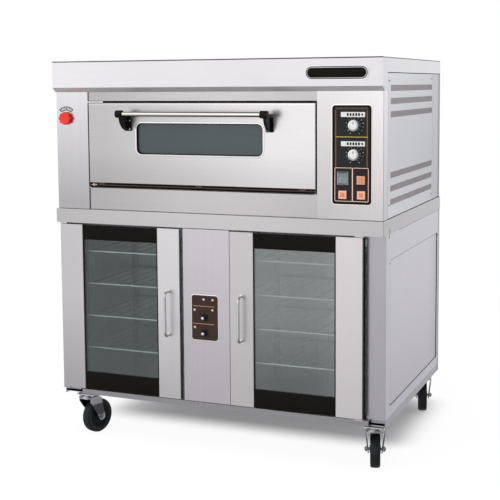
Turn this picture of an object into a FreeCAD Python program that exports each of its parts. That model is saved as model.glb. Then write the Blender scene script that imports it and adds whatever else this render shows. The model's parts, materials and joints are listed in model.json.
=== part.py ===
"""Electric deck oven on a two-door proving cabinet with castors.

Millimetres, +Z up, +X to the viewer's right, -Y towards the viewer. The origin is on the floor
under the middle of the whole object. Shapes are drawn with y measured back from the faces of the
oven's front columns, and save() moves them by FRONT_Y into the object's own frame.
"""

import FreeCAD, Part
import math
import os

from FreeCAD import Vector as V

# ---- driving dimensions --------------------------------------------------------------------------
FRONT_Y = -395.0          # the columns' front face in the object's frame
BODY_W = 1220.0           # oven casing width
BODY_D = 835.0            # casing depth, column face to back sheet
TOP_Z = 1378.0            # top of the oven
SEAM_Z = 847.0            # oven rests on the proving cabinet here
COLLAR_Z = 797.0          # lower edge of the cabinet's top band
CABINET_Z = 158.0         # underside of the cabinet, on the castor plates
SKIRT_Z = 150.5           # lower edge of its side and back sheets
SHEET = 1.5               # casing sheet thickness
CORD_R = 6.0              # bore of the cable gland
HALF = BODY_W / 2

CANOPY_HALF = HALF + 2.0  # canopy wraps outside the casing
CANOPY_OUT = 20.0         # how far it stands out in front of the columns
CANOPY_FACE_Z = 1284.0    # lower edge of its flat face
CANOPY_Z = 1268.0         # lower edge of its sloping return
CHEEK_D = 38.0            # how far its cheeks run back
COVER_Z = 1328.0          # lower edge of the top cover's skirt

COLUMN_IN = -480.0        # inner edge of the left column
CONTROL_IN = 383.0        # inner edge of the control column
COLUMN_TOP = 1300.0
COLUMN_RETURN = 50.0      # column's return along the side of the casing

DOOR_X = (-476.0, 379.0)  # oven door, left and right edges
DOOR_Z = (944.0, 1229.0)
DOOR_Y = (-2.0, 22.0)
WINDOW_X = (-284.0, 193.0)
WINDOW_Z = (1049.0, 1159.0)
WINDOW_R = 20.0
GLASS_Y = 6.0             # outer pane sits on the window's folded edge
HINGE_Y, HINGE_Z = 6.0, 936.0
SHAFT_R = 3.5
RUN = 0.05                # radial clearance of every running fit

CHAMBER_X = (-450.0, 353.0)
CHAMBER_Z = (968.0, 1202.0)
CHAMBER_BACK = 668.0
FRAME_Y = 24.0            # face of the plate round the chamber mouth

HANDLE_Z = 1192.0
HANDLE_Y = -62.0
HANDLE_R = 8.25
HANDLE_SPAN = 540.0       # between the two brackets' centres
CAP_R = 13.0

VENT_Y = (85.0, 697.0)
VENT_ROWS = (1276.5, 1233.5, 1190.0, 990.0, 945.5, 900.5)
VENT_H = 20.0
VENT_PITCH = 10.2
VENT_W = 6.0
REAR_RETURN_Y = 705.0     # the back sheet wraps round the sides from here

BEZEL_X = (437.5, 568.5)
BEZEL_Z = (899.0, 1222.0)
DIAL_X = 514.0
DIAL_Z = (1156.5, 1061.5)
ROCKER_AT = (473.5, 984.0)
BUTTONS = {"heat": (535.0, 979.0), "lamp": (473.0, 930.0), "steam": (536.0, 930.0)}
BUTTON_SIDE = 27.0
BUTTON_TRAVEL = 3.5

DAMPER_X, DAMPER_Z = -569.0, 1174.0
DAMPER_R = 5.0            # damper spindle
SPINDLE_Y = -13.0         # its front end, inside the knob
DUCT = (-599.0, -539.0, 200.0, 258.0)          # exhaust riser: x0, x1, y0, y1
DUCT_INLET_Z = (1112.0, 1148.0)
DUCT_RUN_Z = (1212.0, 1258.0)

COLLAR_HALF = 614.0
COLLAR_Y = -10.0
CABINET_HALF = 612.4
POST_Y = 26.0             # face of the cabinet's posts, behind the doors
POST_W = 65.0
LEAF_Y = (-3.0, 19.0)     # proving doors, front and back faces
LEAF_Z = (183.0, 790.0)
LEFT_LEAF = (-603.0, -511.0, -209.0, -123.5)   # outer edge, glass edges, inner edge
RIGHT_LEAF = (541.0, 449.0, 155.0, 68.0)
PIVOT_IN = 12.0           # pivot axis in from the leaf's outer edge
PIVOT_R = 4.0
LEAF_MID_Y = sum(LEAF_Y) / 2
PULL_Z = (411.5, 567.0)
PULL_R = 5.0
PANEL_X = (-114.0, 63.5)
PLATE_X = (-79.5, 18.5)
PLATE_Z = (402.5, 560.0)
PROVER_DIAL_X = -32.0
PROVER_DIAL_Z = (482.0, 427.0)
BAY_HALF = 545.0          # outer walls of the two proving bays
BAY_BACK = 450.0          # rear wall of the bays
SHELF_Z = (325.0, 445.0, 565.0, 685.0)
RAIL_Z = 178.0            # top of the bottom rail
RAIL_X = (-530.0, 560.0)
POST_FOOT_Z = 168.0

CASTOR_X = (-520.0, 575.0)
CASTOR_Y = (38.0, 728.0)
PLATE_HALF = (34.0, 32.0)
WHEEL_R = 62.5
WHEEL_HALF = 17.0
TRAIL = 38.0
AXLE_R = 5.0
CROWN_R = 34.0
KING_PIN_R = 6.0
# trail direction of each castor at rest, in degrees anticlockwise from +X seen from above
CASTORS = {"front_left": (0, 0, 74.0), "front_right": (1, 0, 106.0),
           "rear_left": (0, 1, 95.0), "rear_right": (1, 1, 104.0)}


# ---- helpers -------------------------------------------------------------------------------------
def box(x0, x1, y0, y1, z0, z1):
    return Part.makeBox(x1 - x0, y1 - y0, z1 - z0, V(x0, y0, z0))


def tube(x0, x1, y0, y1, z0, z1, t, along):
    """Rectangular hollow section, open at both ends along the named axis."""
    pad = {axis: (-1.0 if axis == along else t) for axis in "xyz"}
    inner = box(x0 + pad["x"], x1 - pad["x"], y0 + pad["y"], y1 - pad["y"], z0 + pad["z"], z1 - pad["z"])
    return box(x0, x1, y0, y1, z0, z1).cut(inner)


def rod(p, q, r):
    """Round bar from p to q."""
    a, b = V(*p), V(*q)
    return Part.makeCylinder(r, (b - a).Length, a, b - a)


def fuse(shapes):
    whole = shapes[0].multiFuse(shapes[1:]) if len(shapes) > 1 else shapes[0]
    return whole.removeSplitter()


def cut(shape, tools):
    return shape.cut(Part.makeCompound(tools))


def polygon(points):
    return Part.Face(Part.makePolygon([V(*p) for p in points + points[:1]]))


def side_profile(points, x0, x1):
    """Closed (y, z) outline run along X from x0 to x1."""
    return polygon([(x0, y, z) for y, z in points]).extrude(V(x1 - x0, 0, 0))


def slab(xs, zs, y0, y1, r):
    """Upright plate with rounded corners."""
    body = box(xs[0], xs[1], y0, y1, zs[0], zs[1])
    edges = [e for e in body.Edges if abs(e.Length - (y1 - y0)) < 1e-6 and abs(e.tangentAt(0).y) > 0.99]
    return body.makeFillet(r, edges)


def round_edges(shape, r, wanted):
    """Rounds the straight edges whose middle point and direction pass the test."""
    picked = []
    for e in shape.Edges:
        a, b = e.Vertexes[0].Point, e.Vertexes[-1].Point
        if wanted((a + b) * 0.5, (b - a)):
            picked.append(e)
    return shape.makeFillet(r, picked)


def round_edges_circular(shape, r):
    """Rounds the full circular edges of a turned piece."""
    return shape.makeFillet(r, [e for e in shape.Edges if len(e.Vertexes) == 1 or e.isClosed()])


def round_edges_at(shape, r, y):
    """Rounds every edge that lies in the plane at y."""
    picked = [e for e in shape.Edges if all(abs(v.Point.y - y) < 1e-6 for v in e.Vertexes)]
    return shape.makeFillet(r, picked)


def turned(profile, centre, axis):
    """Ring or turned piece: (radius, height) outline spun about an axis through centre."""
    face = polygon([(r, 0, h) for r, h in profile])
    body = face.revolve(V(0, 0, 0), V(0, 0, 1), 360)
    body.Placement = FreeCAD.Placement(V(*centre), FreeCAD.Rotation(V(0, 0, 1), V(*axis)))
    return body


def bent_rod(points, r, bend):
    """Round bar along straight runs joined by tangent arcs of the same bend radius."""
    pts = [V(*p) for p in points]
    edges, start = [], pts[0]
    for before, corner, after in zip(pts, pts[1:], pts[2:]):
        u, v = (corner - before).normalize(), (after - corner).normalize()
        turn = u.getAngle(v)
        leg = bend * math.tan(turn / 2)
        a, b = corner - u * leg, corner + v * leg
        middle = corner + (v - u).normalize() * (bend / math.cos(turn / 2) - bend)
        edges.append(Part.makeLine(start, a))
        edges.append(Part.Arc(a, middle, b).toShape())
        start = b
    edges.append(Part.makeLine(start, pts[-1]))
    ring = Part.Wire(Part.makeCircle(r, pts[0], pts[1] - pts[0]))
    return Part.Wire(edges).makePipeShell([ring], True, False)


def save(name, *shapes):
    whole = shapes[0] if len(shapes) == 1 else Part.makeCompound(list(shapes))
    whole = whole.copy()
    whole.translate(V(0, FRONT_Y, 0))
    if not whole.isValid():
        print("not valid:", name)
    whole.exportStep("parts/" + name + ".step")


# ---- oven casing ---------------------------------------------------------------------------------
def oven_canopy():
    """Folded front hood: flat face, sloping lower return and two cheeks, open at the back and below."""
    foot = (-1.5, CANOPY_Z)                            # y, z of the return's lower edge
    outer = side_profile([(CHEEK_D, TOP_Z), (-CANOPY_OUT, TOP_Z), (-CANOPY_OUT, CANOPY_FACE_Z), foot,
                          (CHEEK_D, CANOPY_Z)], -CANOPY_HALF, CANOPY_HALF)
    outer = round_edges(outer, 3.0, lambda m, d: m.z > TOP_Z - 1 and m.y < CHEEK_D - 1)
    inner = side_profile([(CHEEK_D + 1, TOP_Z - SHEET), (SHEET - CANOPY_OUT, TOP_Z - SHEET),
                          (SHEET - CANOPY_OUT, CANOPY_FACE_Z + 0.7), (foot[0] + 1, foot[1] + 1.2),
                          (foot[0] + 1, foot[1] - 1), (CHEEK_D + 1, foot[1] - 1)],
                         SHEET - CANOPY_HALF, CANOPY_HALF - SHEET)
    return outer.cut(inner)


def oven_top_cover():
    front = CHEEK_D + 1.5
    outer = box(-HALF, HALF, front, BODY_D, COVER_Z, TOP_Z)
    outer = round_edges(outer, 3.0, lambda m, d: m.z > TOP_Z - 1
                        and (abs(m.x) > HALF - 1 or m.y > BODY_D - 1))
    inner = box(-HALF + SHEET, HALF - SHEET, front + SHEET, BODY_D - SHEET, COVER_Z - 1, TOP_Z - SHEET)
    return outer.cut(inner)


def vent_slots(side):
    """Rows of upright slots through one side sheet."""
    count = int((VENT_Y[1] - VENT_Y[0] - VENT_W) / VENT_PITCH) + 1
    tools = []
    for z in VENT_ROWS:
        for i in range(count):
            y = VENT_Y[0] + i * VENT_PITCH
            x = side * (HALF - SHEET / 2)
            tools.append(box(x - 2, x + 2, y, y + VENT_W, z - VENT_H / 2, z + VENT_H / 2))
    return tools


def oven_side_panel(side):
    x0, x1 = sorted((side * (HALF - SHEET), side * HALF))
    sheet = box(x0, x1, COLUMN_RETURN + 1.5, REAR_RETURN_Y - 1.0, SEAM_Z + 2.5, COVER_Z - 1.5)
    return cut(sheet, vent_slots(side))


def oven_rear_casing():
    """Back sheet wrapped round both sides, with the base sheet welded to it."""
    low, high = SEAM_Z + 2.5, COVER_Z - 1.5
    back = box(-HALF, HALF, BODY_D - SHEET, BODY_D, SEAM_Z, high)
    sides = [box(*sorted((s * (HALF - SHEET), s * HALF)), REAR_RETURN_Y, BODY_D, low, high)
             for s in (-1, 1)]
    base = box(-HALF + 4, HALF - 4, 26.0, BODY_D, SEAM_Z, SEAM_Z + SHEET)
    holes = [box(DUCT[0] + 2, DUCT[1] - 2, BODY_D - 5, BODY_D + 1, DUCT_RUN_Z[0] + 2, DUCT_RUN_Z[1] - 2)]
    for z in (1150.0, 950.0):
        holes += [box(x, x + 6, BODY_D - 5, BODY_D + 1, z - 20, z + 20) for x in range(-100, 500, 20)]
    return cut(fuse([back, base] + sides), holes)


def column(x_in, x_out):
    """Folded front column: face, long outer return and short inner return."""
    side = 1 if x_out > x_in else -1
    low = SEAM_Z + 1.0
    face = box(*sorted((x_in, x_out)), 0, SHEET, low, COLUMN_TOP)
    outer = box(*sorted((x_out - side * SHEET, x_out)), 0, COLUMN_RETURN, low, COVER_Z - 1.5)
    inner = box(*sorted((x_in, x_in + side * SHEET)), 0, FRAME_Y, low, COLUMN_TOP)
    body = fuse([face, outer, inner])
    return round_edges(body, 2.0, lambda m, d: m.y < 0.1 and abs(d.z) > 100
                       and (abs(m.x - x_out) < 0.1 or abs(m.x - x_in) < 0.1))


def left_front_column():
    body = column(COLUMN_IN, -HALF)
    return body.cut(rod((DAMPER_X, -5, DAMPER_Z), (DAMPER_X, 10, DAMPER_Z), DAMPER_R + 2))


def control_column():
    body = column(CONTROL_IN, HALF)
    return body.cut(box(BEZEL_X[0] + 11, BEZEL_X[1] - 11, -5, 10, BEZEL_Z[0] + 11, BEZEL_Z[1] - 11))


def oven_front_frame():
    """Frame between the columns: header and sill strips, chamber mouth plate and hinge ears."""
    x0, x1 = COLUMN_IN + 0.2, CONTROL_IN - 0.2
    strip_y, header_z, sill_z = 6.0, 1234.0, 925.0
    low = SEAM_Z + 1.0
    parts = [box(x0, x1, strip_y, strip_y + SHEET, header_z, COLUMN_TOP),
             box(x0, x1, strip_y, FRAME_Y + SHEET, header_z, header_z + SHEET),
             box(x0, x1, FRAME_Y, FRAME_Y + SHEET, sill_z, header_z + SHEET),
             box(x0, x1, strip_y, FRAME_Y + SHEET, sill_z - SHEET, sill_z),
             box(x0, x1, strip_y, strip_y + SHEET, low, sill_z)]
    for x in (x0, x1 - 8):
        parts.append(box(x, x + 8, 0, FRAME_Y, sill_z, HINGE_Z + 5))
    body = fuse(parts)
    mouth = slab(CHAMBER_X, CHAMBER_Z, FRAME_Y - 1, FRAME_Y + 5, 8.0)
    bore = rod((x0 - 1, HINGE_Y, HINGE_Z), (x1 + 1, HINGE_Y, HINGE_Z), SHAFT_R + RUN)
    return cut(body, [mouth, bore])


# ---- baking chamber ------------------------------------------------------------------------------
def chamber_liner():
    """Steel box open at the front, with a port in its left wall for the exhaust."""
    front = FRAME_Y + SHEET
    outer = box(CHAMBER_X[0] - SHEET, CHAMBER_X[1] + SHEET, front, CHAMBER_BACK + SHEET,
                CHAMBER_Z[0] - SHEET, CHAMBER_Z[1] + SHEET)
    inner = box(*CHAMBER_X, front - 1, CHAMBER_BACK, *CHAMBER_Z)
    port = box(CHAMBER_X[0] - 5, CHAMBER_X[0] + 1, *DUCT[2:], *DUCT_INLET_Z)
    return outer.cut(inner).cut(port)


def insulation_jacket():
    """Mineral wool round the chamber, closed at the back and open at the mouth."""
    front = FRAME_Y + SHEET + 1
    gap = SHEET + 0.5
    outer = box(CHAMBER_X[0] - 62, CHAMBER_X[1] + 40, front, 740, 905, 1262)
    hollow = box(CHAMBER_X[0] - gap, CHAMBER_X[1] + gap, front - 1, CHAMBER_BACK + gap,
                 CHAMBER_Z[0] - gap, CHAMBER_Z[1] + gap)
    duct = box(CHAMBER_X[0] - 70, CHAMBER_X[0], DUCT[2] - 4, DUCT[3] + 4,
               DUCT_INLET_Z[0] - 4, DUCT_INLET_Z[1] + 4)
    return outer.cut(hollow).cut(duct)


def hearth_plate():
    plate = box(CHAMBER_X[0] + 6, CHAMBER_X[1] - 6, FRAME_Y + 12, CHAMBER_BACK - 8,
                CHAMBER_Z[0] + 26, CHAMBER_Z[0] + 34)
    feet = [box(x, x + 30, y, y + 30, CHAMBER_Z[0], CHAMBER_Z[0] + 26)
            for x in (CHAMBER_X[0] + 10, CHAMBER_X[1] - 40) for y in (FRAME_Y + 20, CHAMBER_BACK - 40)]
    return fuse([plate] + feet)


def heating_elements():
    """Hairpin elements fixed in the right wall: four under the ceiling and three under the hearth."""
    made = []
    for z, count in ((CHAMBER_Z[1] - 22, 4), (CHAMBER_Z[0] + 13, 3)):
        pitch = (CHAMBER_BACK - FRAME_Y - 160) / (count - 1)
        for i in range(count):
            y = FRAME_Y + 60 + i * pitch
            x_far, x_near = CHAMBER_X[0] + 50, CHAMBER_X[1]
            path = [(x_near, y, z), (x_far, y, z), (x_far, y + 44, z), (x_near, y + 44, z)]
            made.append(bent_rod(path, 4.0, 20.0))
    return made


def door_gasket():
    x, z = CHAMBER_X, CHAMBER_Z
    outer = slab((x[0] - 14, x[1] + 14), (z[0] - 13, z[1] + 13), 18.3, FRAME_Y, 16.0)
    inner = slab((x[0] - 2, x[1] + 2), (z[0] - 2, z[1] + 2), 18, FRAME_Y + 1, 9.0)
    return outer.cut(inner)


# ---- oven door -----------------------------------------------------------------------------------
def oven_door_skin():
    """Folded pan, open at the back, with the window's edge folded in to carry the outer pane."""
    outer = box(*DOOR_X, *DOOR_Y, *DOOR_Z)
    outer = round_edges(outer, 2.0, lambda m, d: m.y < DOOR_Y[0] + 0.1)
    inner = box(DOOR_X[0] + SHEET, DOOR_X[1] - SHEET, DOOR_Y[0] + SHEET, DOOR_Y[1] + 1,
                DOOR_Z[0] + SHEET, DOOR_Z[1] - SHEET)
    fold = window_slab(DOOR_Y[0] + SHEET, GLASS_Y, SHEET)
    window = window_slab(DOOR_Y[0] - 1, GLASS_Y + 1, 0)
    return fuse([outer.cut(inner), fold]).cut(window)


def window_slab(y0, y1, over):
    """Plate the shape of the door's window, wider by over on every side."""
    return slab((WINDOW_X[0] - over, WINDOW_X[1] + over), (WINDOW_Z[0] - over, WINDOW_Z[1] + over),
                y0, y1, WINDOW_R + over)


def oven_door_inner_panel():
    plate = box(DOOR_X[0] + SHEET, DOOR_X[1] - SHEET, 16.5, 18, DOOR_Z[0] + SHEET, DOOR_Z[1] - SHEET)
    return plate.cut(window_slab(10, 20, -6.0))


def door_glass(y0, over):
    return window_slab(y0, y0 + 4.0, over)


def handle_centres():
    middle = (DOOR_X[0] + DOOR_X[1]) / 2
    return [middle - HANDLE_SPAN / 2, middle + HANDLE_SPAN / 2]


def door_handle_bar():
    left, right = handle_centres()
    return rod((left - 7, HANDLE_Y, HANDLE_Z), (right + 7, HANDLE_Y, HANDLE_Z), HANDLE_R)


def handle_bracket(x, inner_side):
    """Moulded quarter-round web with a cap over the bar's end and a screwed foot on the door."""
    face = DOOR_Y[0]
    reach = face - HANDLE_Y
    cap = rod((x - 13, HANDLE_Y, HANDLE_Z), (x + 13, HANDLE_Y, HANDLE_Z), CAP_R)
    cap = round_edges_circular(cap, 2.5)
    disc = rod((x - 4.5, face, HANDLE_Z), (x + 4.5, face, HANDLE_Z), reach)
    quarter = box(x - 5, x + 5, HANDLE_Y - 1, face, HANDLE_Z - reach - 1, HANDLE_Z)
    web = disc.common(quarter)
    f0, f1 = sorted((x - inner_side * 11, x + inner_side * 17))
    foot = slab((f0, f1), (1131.0, 1181.0), face - 5, face, 4.0)
    body = fuse([cap, web, foot])
    blind = rod((x - 7, HANDLE_Y, HANDLE_Z), (x + 7, HANDLE_Y, HANDLE_Z), HANDLE_R)
    mouth_x = sorted((x, x + inner_side * 14))
    mouth = rod((mouth_x[0], HANDLE_Y, HANDLE_Z), (mouth_x[1], HANDLE_Y, HANDLE_Z), HANDLE_R)
    return cut(body, [blind, mouth])


def door_hinge_shaft():
    """Full-width shaft with three lugs welded under the door and a nut at each end."""
    x0, x1 = COLUMN_IN + 1.5, CONTROL_IN - 1.5
    parts = [rod((x0, HINGE_Y, HINGE_Z), (x1, HINGE_Y, HINGE_Z), SHAFT_R)]
    for x in (-440.0, -60.0, 320.0):
        parts.append(box(x, x + 24, HINGE_Y - 3, HINGE_Y + 3, HINGE_Z, DOOR_Z[0]))
    for x in (x0 + 14, x0 + 28, x1 - 22):
        parts.append(hexagon(x, 7.0, 6.2))
    return fuse(parts)


def hexagon(x, length, r):
    points = [(x, HINGE_Y + r * math.cos(math.radians(a)), HINGE_Z + r * math.sin(math.radians(a)))
              for a in range(0, 360, 60)]
    return polygon(points).extrude(V(length, 0, 0))


# ---- controls ------------------------------------------------------------------------------------
def control_bezel():
    plate = slab(BEZEL_X, BEZEL_Z, -3.0, 0.0, 10.0)
    holes = [rod((DIAL_X, -5, z), (DIAL_X, 5, z), 4.5) for z in DIAL_Z]
    x, z = ROCKER_AT
    holes.append(box(x - 19.3, x + 19.3, -5, 5, z - 21.8, z + 21.8))
    for x, z in BUTTONS.values():
        holes.append(box(x - 15, x + 15, -5, 5, z - 15, z + 15))
    return cut(plate, holes)


def temperature_knob(z):
    """Round knob with a wide skirt, a pointer ridge and its spindle."""
    skirt = [(0, 0), (23, 0), (23, 2.5), (15, 6), (14, 20), (12.5, 22), (0, 22)]
    body = turned(skirt, (DIAL_X, -3.6, z), (0, -1, 0))
    ridge = box(DIAL_X - 2.5, DIAL_X + 2.5, -30.0, -18.0, z - 12, z + 12)
    spindle = rod((DIAL_X, -4, z), (DIAL_X, 24, z), 3.0)
    return fuse([body, ridge, spindle])


def rocker_switch():
    """Rocker cap with its two trunnions."""
    x, z = ROCKER_AT
    face = [(-7.5, 17.0), (-5.0, 0.0), (-7.5, -17.0), (6.0, -12.0), (6.0, 12.0)]
    cap = side_profile([(y, z + h) for y, h in face], x - 14.3, x + 14.3)
    return fuse([cap, rod((x - 17.0, 1.0, z), (x + 17.0, 1.0, z), 2.0)])


def push_button(x, z):
    half = BUTTON_SIDE / 2
    cap = box(x - half, x + half, -7.5, 6.0, z - half, z + half)
    return round_edges(cap, 1.5, lambda m, d: m.y < -7)


def control_gear():
    """Behind the bezel: dial switches, button and rocker housings, contactors, terminal block."""
    parts = []
    for z in DIAL_Z:
        body = box(DIAL_X - 26, DIAL_X + 26, 1.0, 46.0, z - 26, z + 26)
        parts.append(body.cut(rod((DIAL_X, 0, z), (DIAL_X, 25, z), 3.0 + RUN)))
    x, z = ROCKER_AT
    frame = box(x - 19.2, x + 19.2, -4.5, 12.0, z - 21.7, z + 21.7)
    well = box(x - 14.6, x + 14.6, -6, 10.0, z - 19.5, z + 19.5)
    bore = rod((x - 17.1, 1.0, z), (x + 17.1, 1.0, z), 2.0 + RUN)
    parts.append(cut(frame, [well, bore]))
    for x, z in BUTTONS.values():
        frame = box(x - 14.9, x + 14.9, -4.5, 16.0, z - 14.9, z + 14.9)
        well = box(x - 13.8, x + 13.8, -6, 10.0, z - 13.8, z + 13.8)
        parts.append(frame.cut(well))
    for i in range(3):
        parts.append(box(420 + 55 * i, 468 + 55 * i, 220, 300, SEAM_Z + 2.5, 930))
    parts.append(box(420, 560, 330, 360, SEAM_Z + 2.5, 890))
    return parts


def nameplate():
    """Blank stadium badge with a raised rim."""
    x0, x1, z0, z1 = 349.5, 565.5, 1303.5, 1351.5
    y = -CANOPY_OUT
    plate = slab((x0, x1), (z0, z1), y - 3, y, 23.9)
    recess = slab((x0 + 3, x1 - 3), (z0 + 3, z1 - 3), y - 4, y - 2, 20.9)
    return plate.cut(recess)


def damper_knob():
    """Round grip with eight shallow lobes on a hub, with a blind bore for the spindle."""
    y0, y1, lobes, reach, lobe_r = -18.5, -3.0, 8, 15.5, 7.5
    parts = [rod((DAMPER_X, y0, DAMPER_Z), (DAMPER_X, y1, DAMPER_Z), 19.5),
             rod((DAMPER_X, y1, DAMPER_Z), (DAMPER_X, -0.6, DAMPER_Z), 11.0)]
    for i in range(lobes):
        a = math.tau * i / lobes
        x, z = DAMPER_X + reach * math.cos(a), DAMPER_Z + reach * math.sin(a)
        parts.append(rod((x, y0, z), (x, y1, z), lobe_r))
    body = round_edges_at(fuse(parts), 2.0, y0)
    return body.cut(rod((DAMPER_X, SPINDLE_Y, DAMPER_Z), (DAMPER_X, 1, DAMPER_Z), DAMPER_R))


def damper_flap():
    """Spindle from the knob back through the riser, with the butterfly plate on it."""
    x0, x1, y0, y1 = DUCT
    spindle = rod((DAMPER_X, SPINDLE_Y, DAMPER_Z), (DAMPER_X, y1 + 6, DAMPER_Z), DAMPER_R)
    plate = box(x0 + 3.0, x1 - 3.0, y0 + 3.0, y1 - 3.0, DAMPER_Z - 1.0, DAMPER_Z + 1.0)
    return fuse([spindle, plate])


def exhaust_duct():
    """Square steam duct in three welded lengths: chamber inlet, riser with the flap, run to the back."""
    x0, x1, y0, y1 = DUCT
    riser_z = (1105.0, DUCT_RUN_Z[1])
    inlet = square_pipe(x1, CHAMBER_X[0] - SHEET, y0, y1, *DUCT_INLET_Z, "x")
    run = square_pipe(x0, x1, y1, BODY_D - SHEET, *DUCT_RUN_Z, "y")
    riser = box(x0, x1, y0, y1, *riser_z)
    hollow = box(x0 + SHEET, x1 - SHEET, y0 + SHEET, y1 - SHEET, riser_z[0] + SHEET, riser_z[1] - SHEET)
    to_inlet = box(x1 - 2 * SHEET, x1 + 1, y0 + SHEET, y1 - SHEET,
                   DUCT_INLET_Z[0] + SHEET, DUCT_INLET_Z[1] - SHEET)
    to_run = box(x0 + SHEET, x1 - SHEET, y1 - 2 * SHEET, y1 + 1,
                 DUCT_RUN_Z[0] + SHEET, DUCT_RUN_Z[1] - SHEET)
    bore = rod((DAMPER_X, y0 - 5, DAMPER_Z), (DAMPER_X, y1 + 5, DAMPER_Z), DAMPER_R + RUN)
    return [cut(riser, [hollow, to_inlet, to_run, bore])] + inlet + run


def square_pipe(x0, x1, y0, y1, z0, z1, along):
    """Floor, roof and two walls of a square pipe, welded edge to edge."""
    t = SHEET
    plates = [box(x0, x1, y0, y1, z0, z0 + t), box(x0, x1, y0, y1, z1 - t, z1)]
    if along == "x":
        walls = [box(x0, x1, y0, y0 + t, z0 + t, z1 - t), box(x0, x1, y1 - t, y1, z0 + t, z1 - t)]
    else:
        walls = [box(x0, x0 + t, y0, y1, z0 + t, z1 - t), box(x1 - t, x1, y0, y1, z0 + t, z1 - t)]
    return plates + walls


def power_inlet():
    """Terminal box low on the back of the oven's stand, with the cable gland under it."""
    shell = box(548, 606, BODY_D, BODY_D + 30, 775, 828)
    shell = round_edges(shell, 3.0, lambda m, d: m.y > BODY_D + 29)
    x, y = 577, BODY_D + 16
    gland = turned([(0, 0), (13, 0), (13, 8), (11, 10), (10, 20), (0, 20)], (x, y, 776), (0, 0, -1))
    return fuse([shell, gland]).cut(rod((x, y, 750), (x, y, 770), CORD_R))


# ---- proving cabinet -----------------------------------------------------------------------------
def prover_collar():
    """Top band of the cabinet: a shallow tray turned upside down that the oven stands on."""
    h, t = COLLAR_HALF, SHEET
    outer = box(-h, h, COLLAR_Y, BODY_D, COLLAR_Z, SEAM_Z)
    outer = round_edges(outer, 2.0, lambda m, d: m.y < COLLAR_Y + 0.1
                        and (m.z > SEAM_Z - 1 or abs(d.z) > 10))
    inner = box(-h + t, h - t, COLLAR_Y + t, BODY_D - t, COLLAR_Z - 1, SEAM_Z - t)
    slots = [box(s * h - 4, s * h + 4, 62, 68, COLLAR_Z - 1, COLLAR_Z + 20) for s in (-1, 1)]
    return cut(outer, [inner] + slots)


def prover_frame():
    """Welded frame: corner posts with side sheets, top and bottom rails and the centre upright."""
    h, t = CABINET_HALF, 2.0
    z0, z1 = CABINET_Z + 2.0, SEAM_Z - SHEET
    parts = []
    for s in (-1, 1):
        side = box(*sorted((s * (h - t), s * h)), POST_Y, BODY_D - t, SKIRT_Z, z1)
        window = box(*sorted((s * (h - 5), s * (h + 5))), 86, 797, 212, 708)
        parts.append(side.cut(window))
        parts.append(box(*sorted((s * (h - POST_W), s * h)), POST_Y, POST_Y + t, POST_FOOT_Z, z1))
        parts.append(box(*sorted((s * (h - POST_W), s * (h - POST_W + t))), POST_Y, POST_Y + 30,
                         POST_FOOT_Z, z1))
        parts.append(box(*sorted((s * (h - 40), s * h)), BODY_D - 2 * t, BODY_D - t, z0, z1))
    inner = h - POST_W
    parts.append(tube(*RAIL_X, POST_Y - 20, POST_Y + t, z0, RAIL_Z, t, "x"))
    parts.append(tube(-inner, inner, POST_Y, POST_Y + 30, LEAF_Z[1] - 8, z1, t, "x"))
    parts.append(tube(*PANEL_X, POST_Y, POST_Y + 30, RAIL_Z, LEAF_Z[1] - 8, t, "z"))
    body = fuse(parts)
    slots = [box(s * h - 4, s * h + 4, 62, 68, COLLAR_Z - 14, COLLAR_Z + 20) for s in (-1, 1)]
    return cut(body, slots)


def prover_side_plates():
    """Inset plate of each side, fixed from inside."""
    h = CABINET_HALF - 2.0
    return [box(*sorted((s * (h - SHEET), s * h)), 74, 809, 200, 720) for s in (-1, 1)]


def prover_rear_casing():
    """Back sheet and floor pan, folded from one sheet."""
    h = CABINET_HALF
    inner = h - 2.0
    back = box(-h, h, BODY_D - 2.0, BODY_D, SKIRT_Z, COLLAR_Z - 0.5)
    floor = box(-inner, inner, POST_Y, BODY_D - 2.0, CABINET_Z, CABINET_Z + 2.0)
    return fuse([back, floor])


def prover_liner():
    """Two bays side by side: side walls, rear air wall and ceiling."""
    z0, z1 = CABINET_Z + 2.0, LEAF_Z[1] - 8
    y0 = POST_Y + 30
    t = SHEET
    parts = []
    for x0, x1 in ((-BAY_HALF, PANEL_X[0]), (PANEL_X[1], BAY_HALF)):
        outer = box(x0, x1, y0, BAY_BACK + t, z0, z1)
        inner = box(x0 + t, x1 - t, y0 - 1, BAY_BACK, z0 + t, z1 - t)
        parts.append(outer.cut(inner))
    return parts


def centre_panel():
    """Fixed front between the doors, folded back to the centre upright."""
    z0, z1, t = LEAF_Z[0] - 3, LEAF_Z[1] + 2, SHEET
    outer = box(*PANEL_X, 6.0, POST_Y, z0, z1)
    outer = round_edges(outer, 1.5, lambda m, d: m.y < 6.1 and abs(d.z) > 100)
    inner = box(PANEL_X[0] + t, PANEL_X[1] - t, 6.0 + t, POST_Y + 1, z0 + t, z1 - t)
    holes = [rod((PROVER_DIAL_X, 0, z), (PROVER_DIAL_X, 10, z), 5.0) for z in PROVER_DIAL_Z]
    return outer.cut(inner).cut(Part.makeCompound(holes))


def prover_control_plate():
    plate = slab(PLATE_X, PLATE_Z, 3.0, 6.0, 9.0)
    holes = [rod((PROVER_DIAL_X, 0, z), (PROVER_DIAL_X, 10, z), 3.0 + RUN) for z in PROVER_DIAL_Z]
    return cut(plate, holes)


def prover_knob(z):
    """Small round knob on a square skirt, with its spindle."""
    x = PROVER_DIAL_X
    skirt = box(x - 12.5, x + 12.5, 0.8, 2.6, z - 12.5, z + 12.5)
    grip = turned([(0, 0), (10.5, 0), (9.5, 12), (8.5, 13), (0, 13)], (x, 1.0, z), (0, -1, 0))
    spindle = rod((x, 1, z), (x, 22, z), 3.0)
    return fuse([skirt, grip, spindle])


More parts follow.
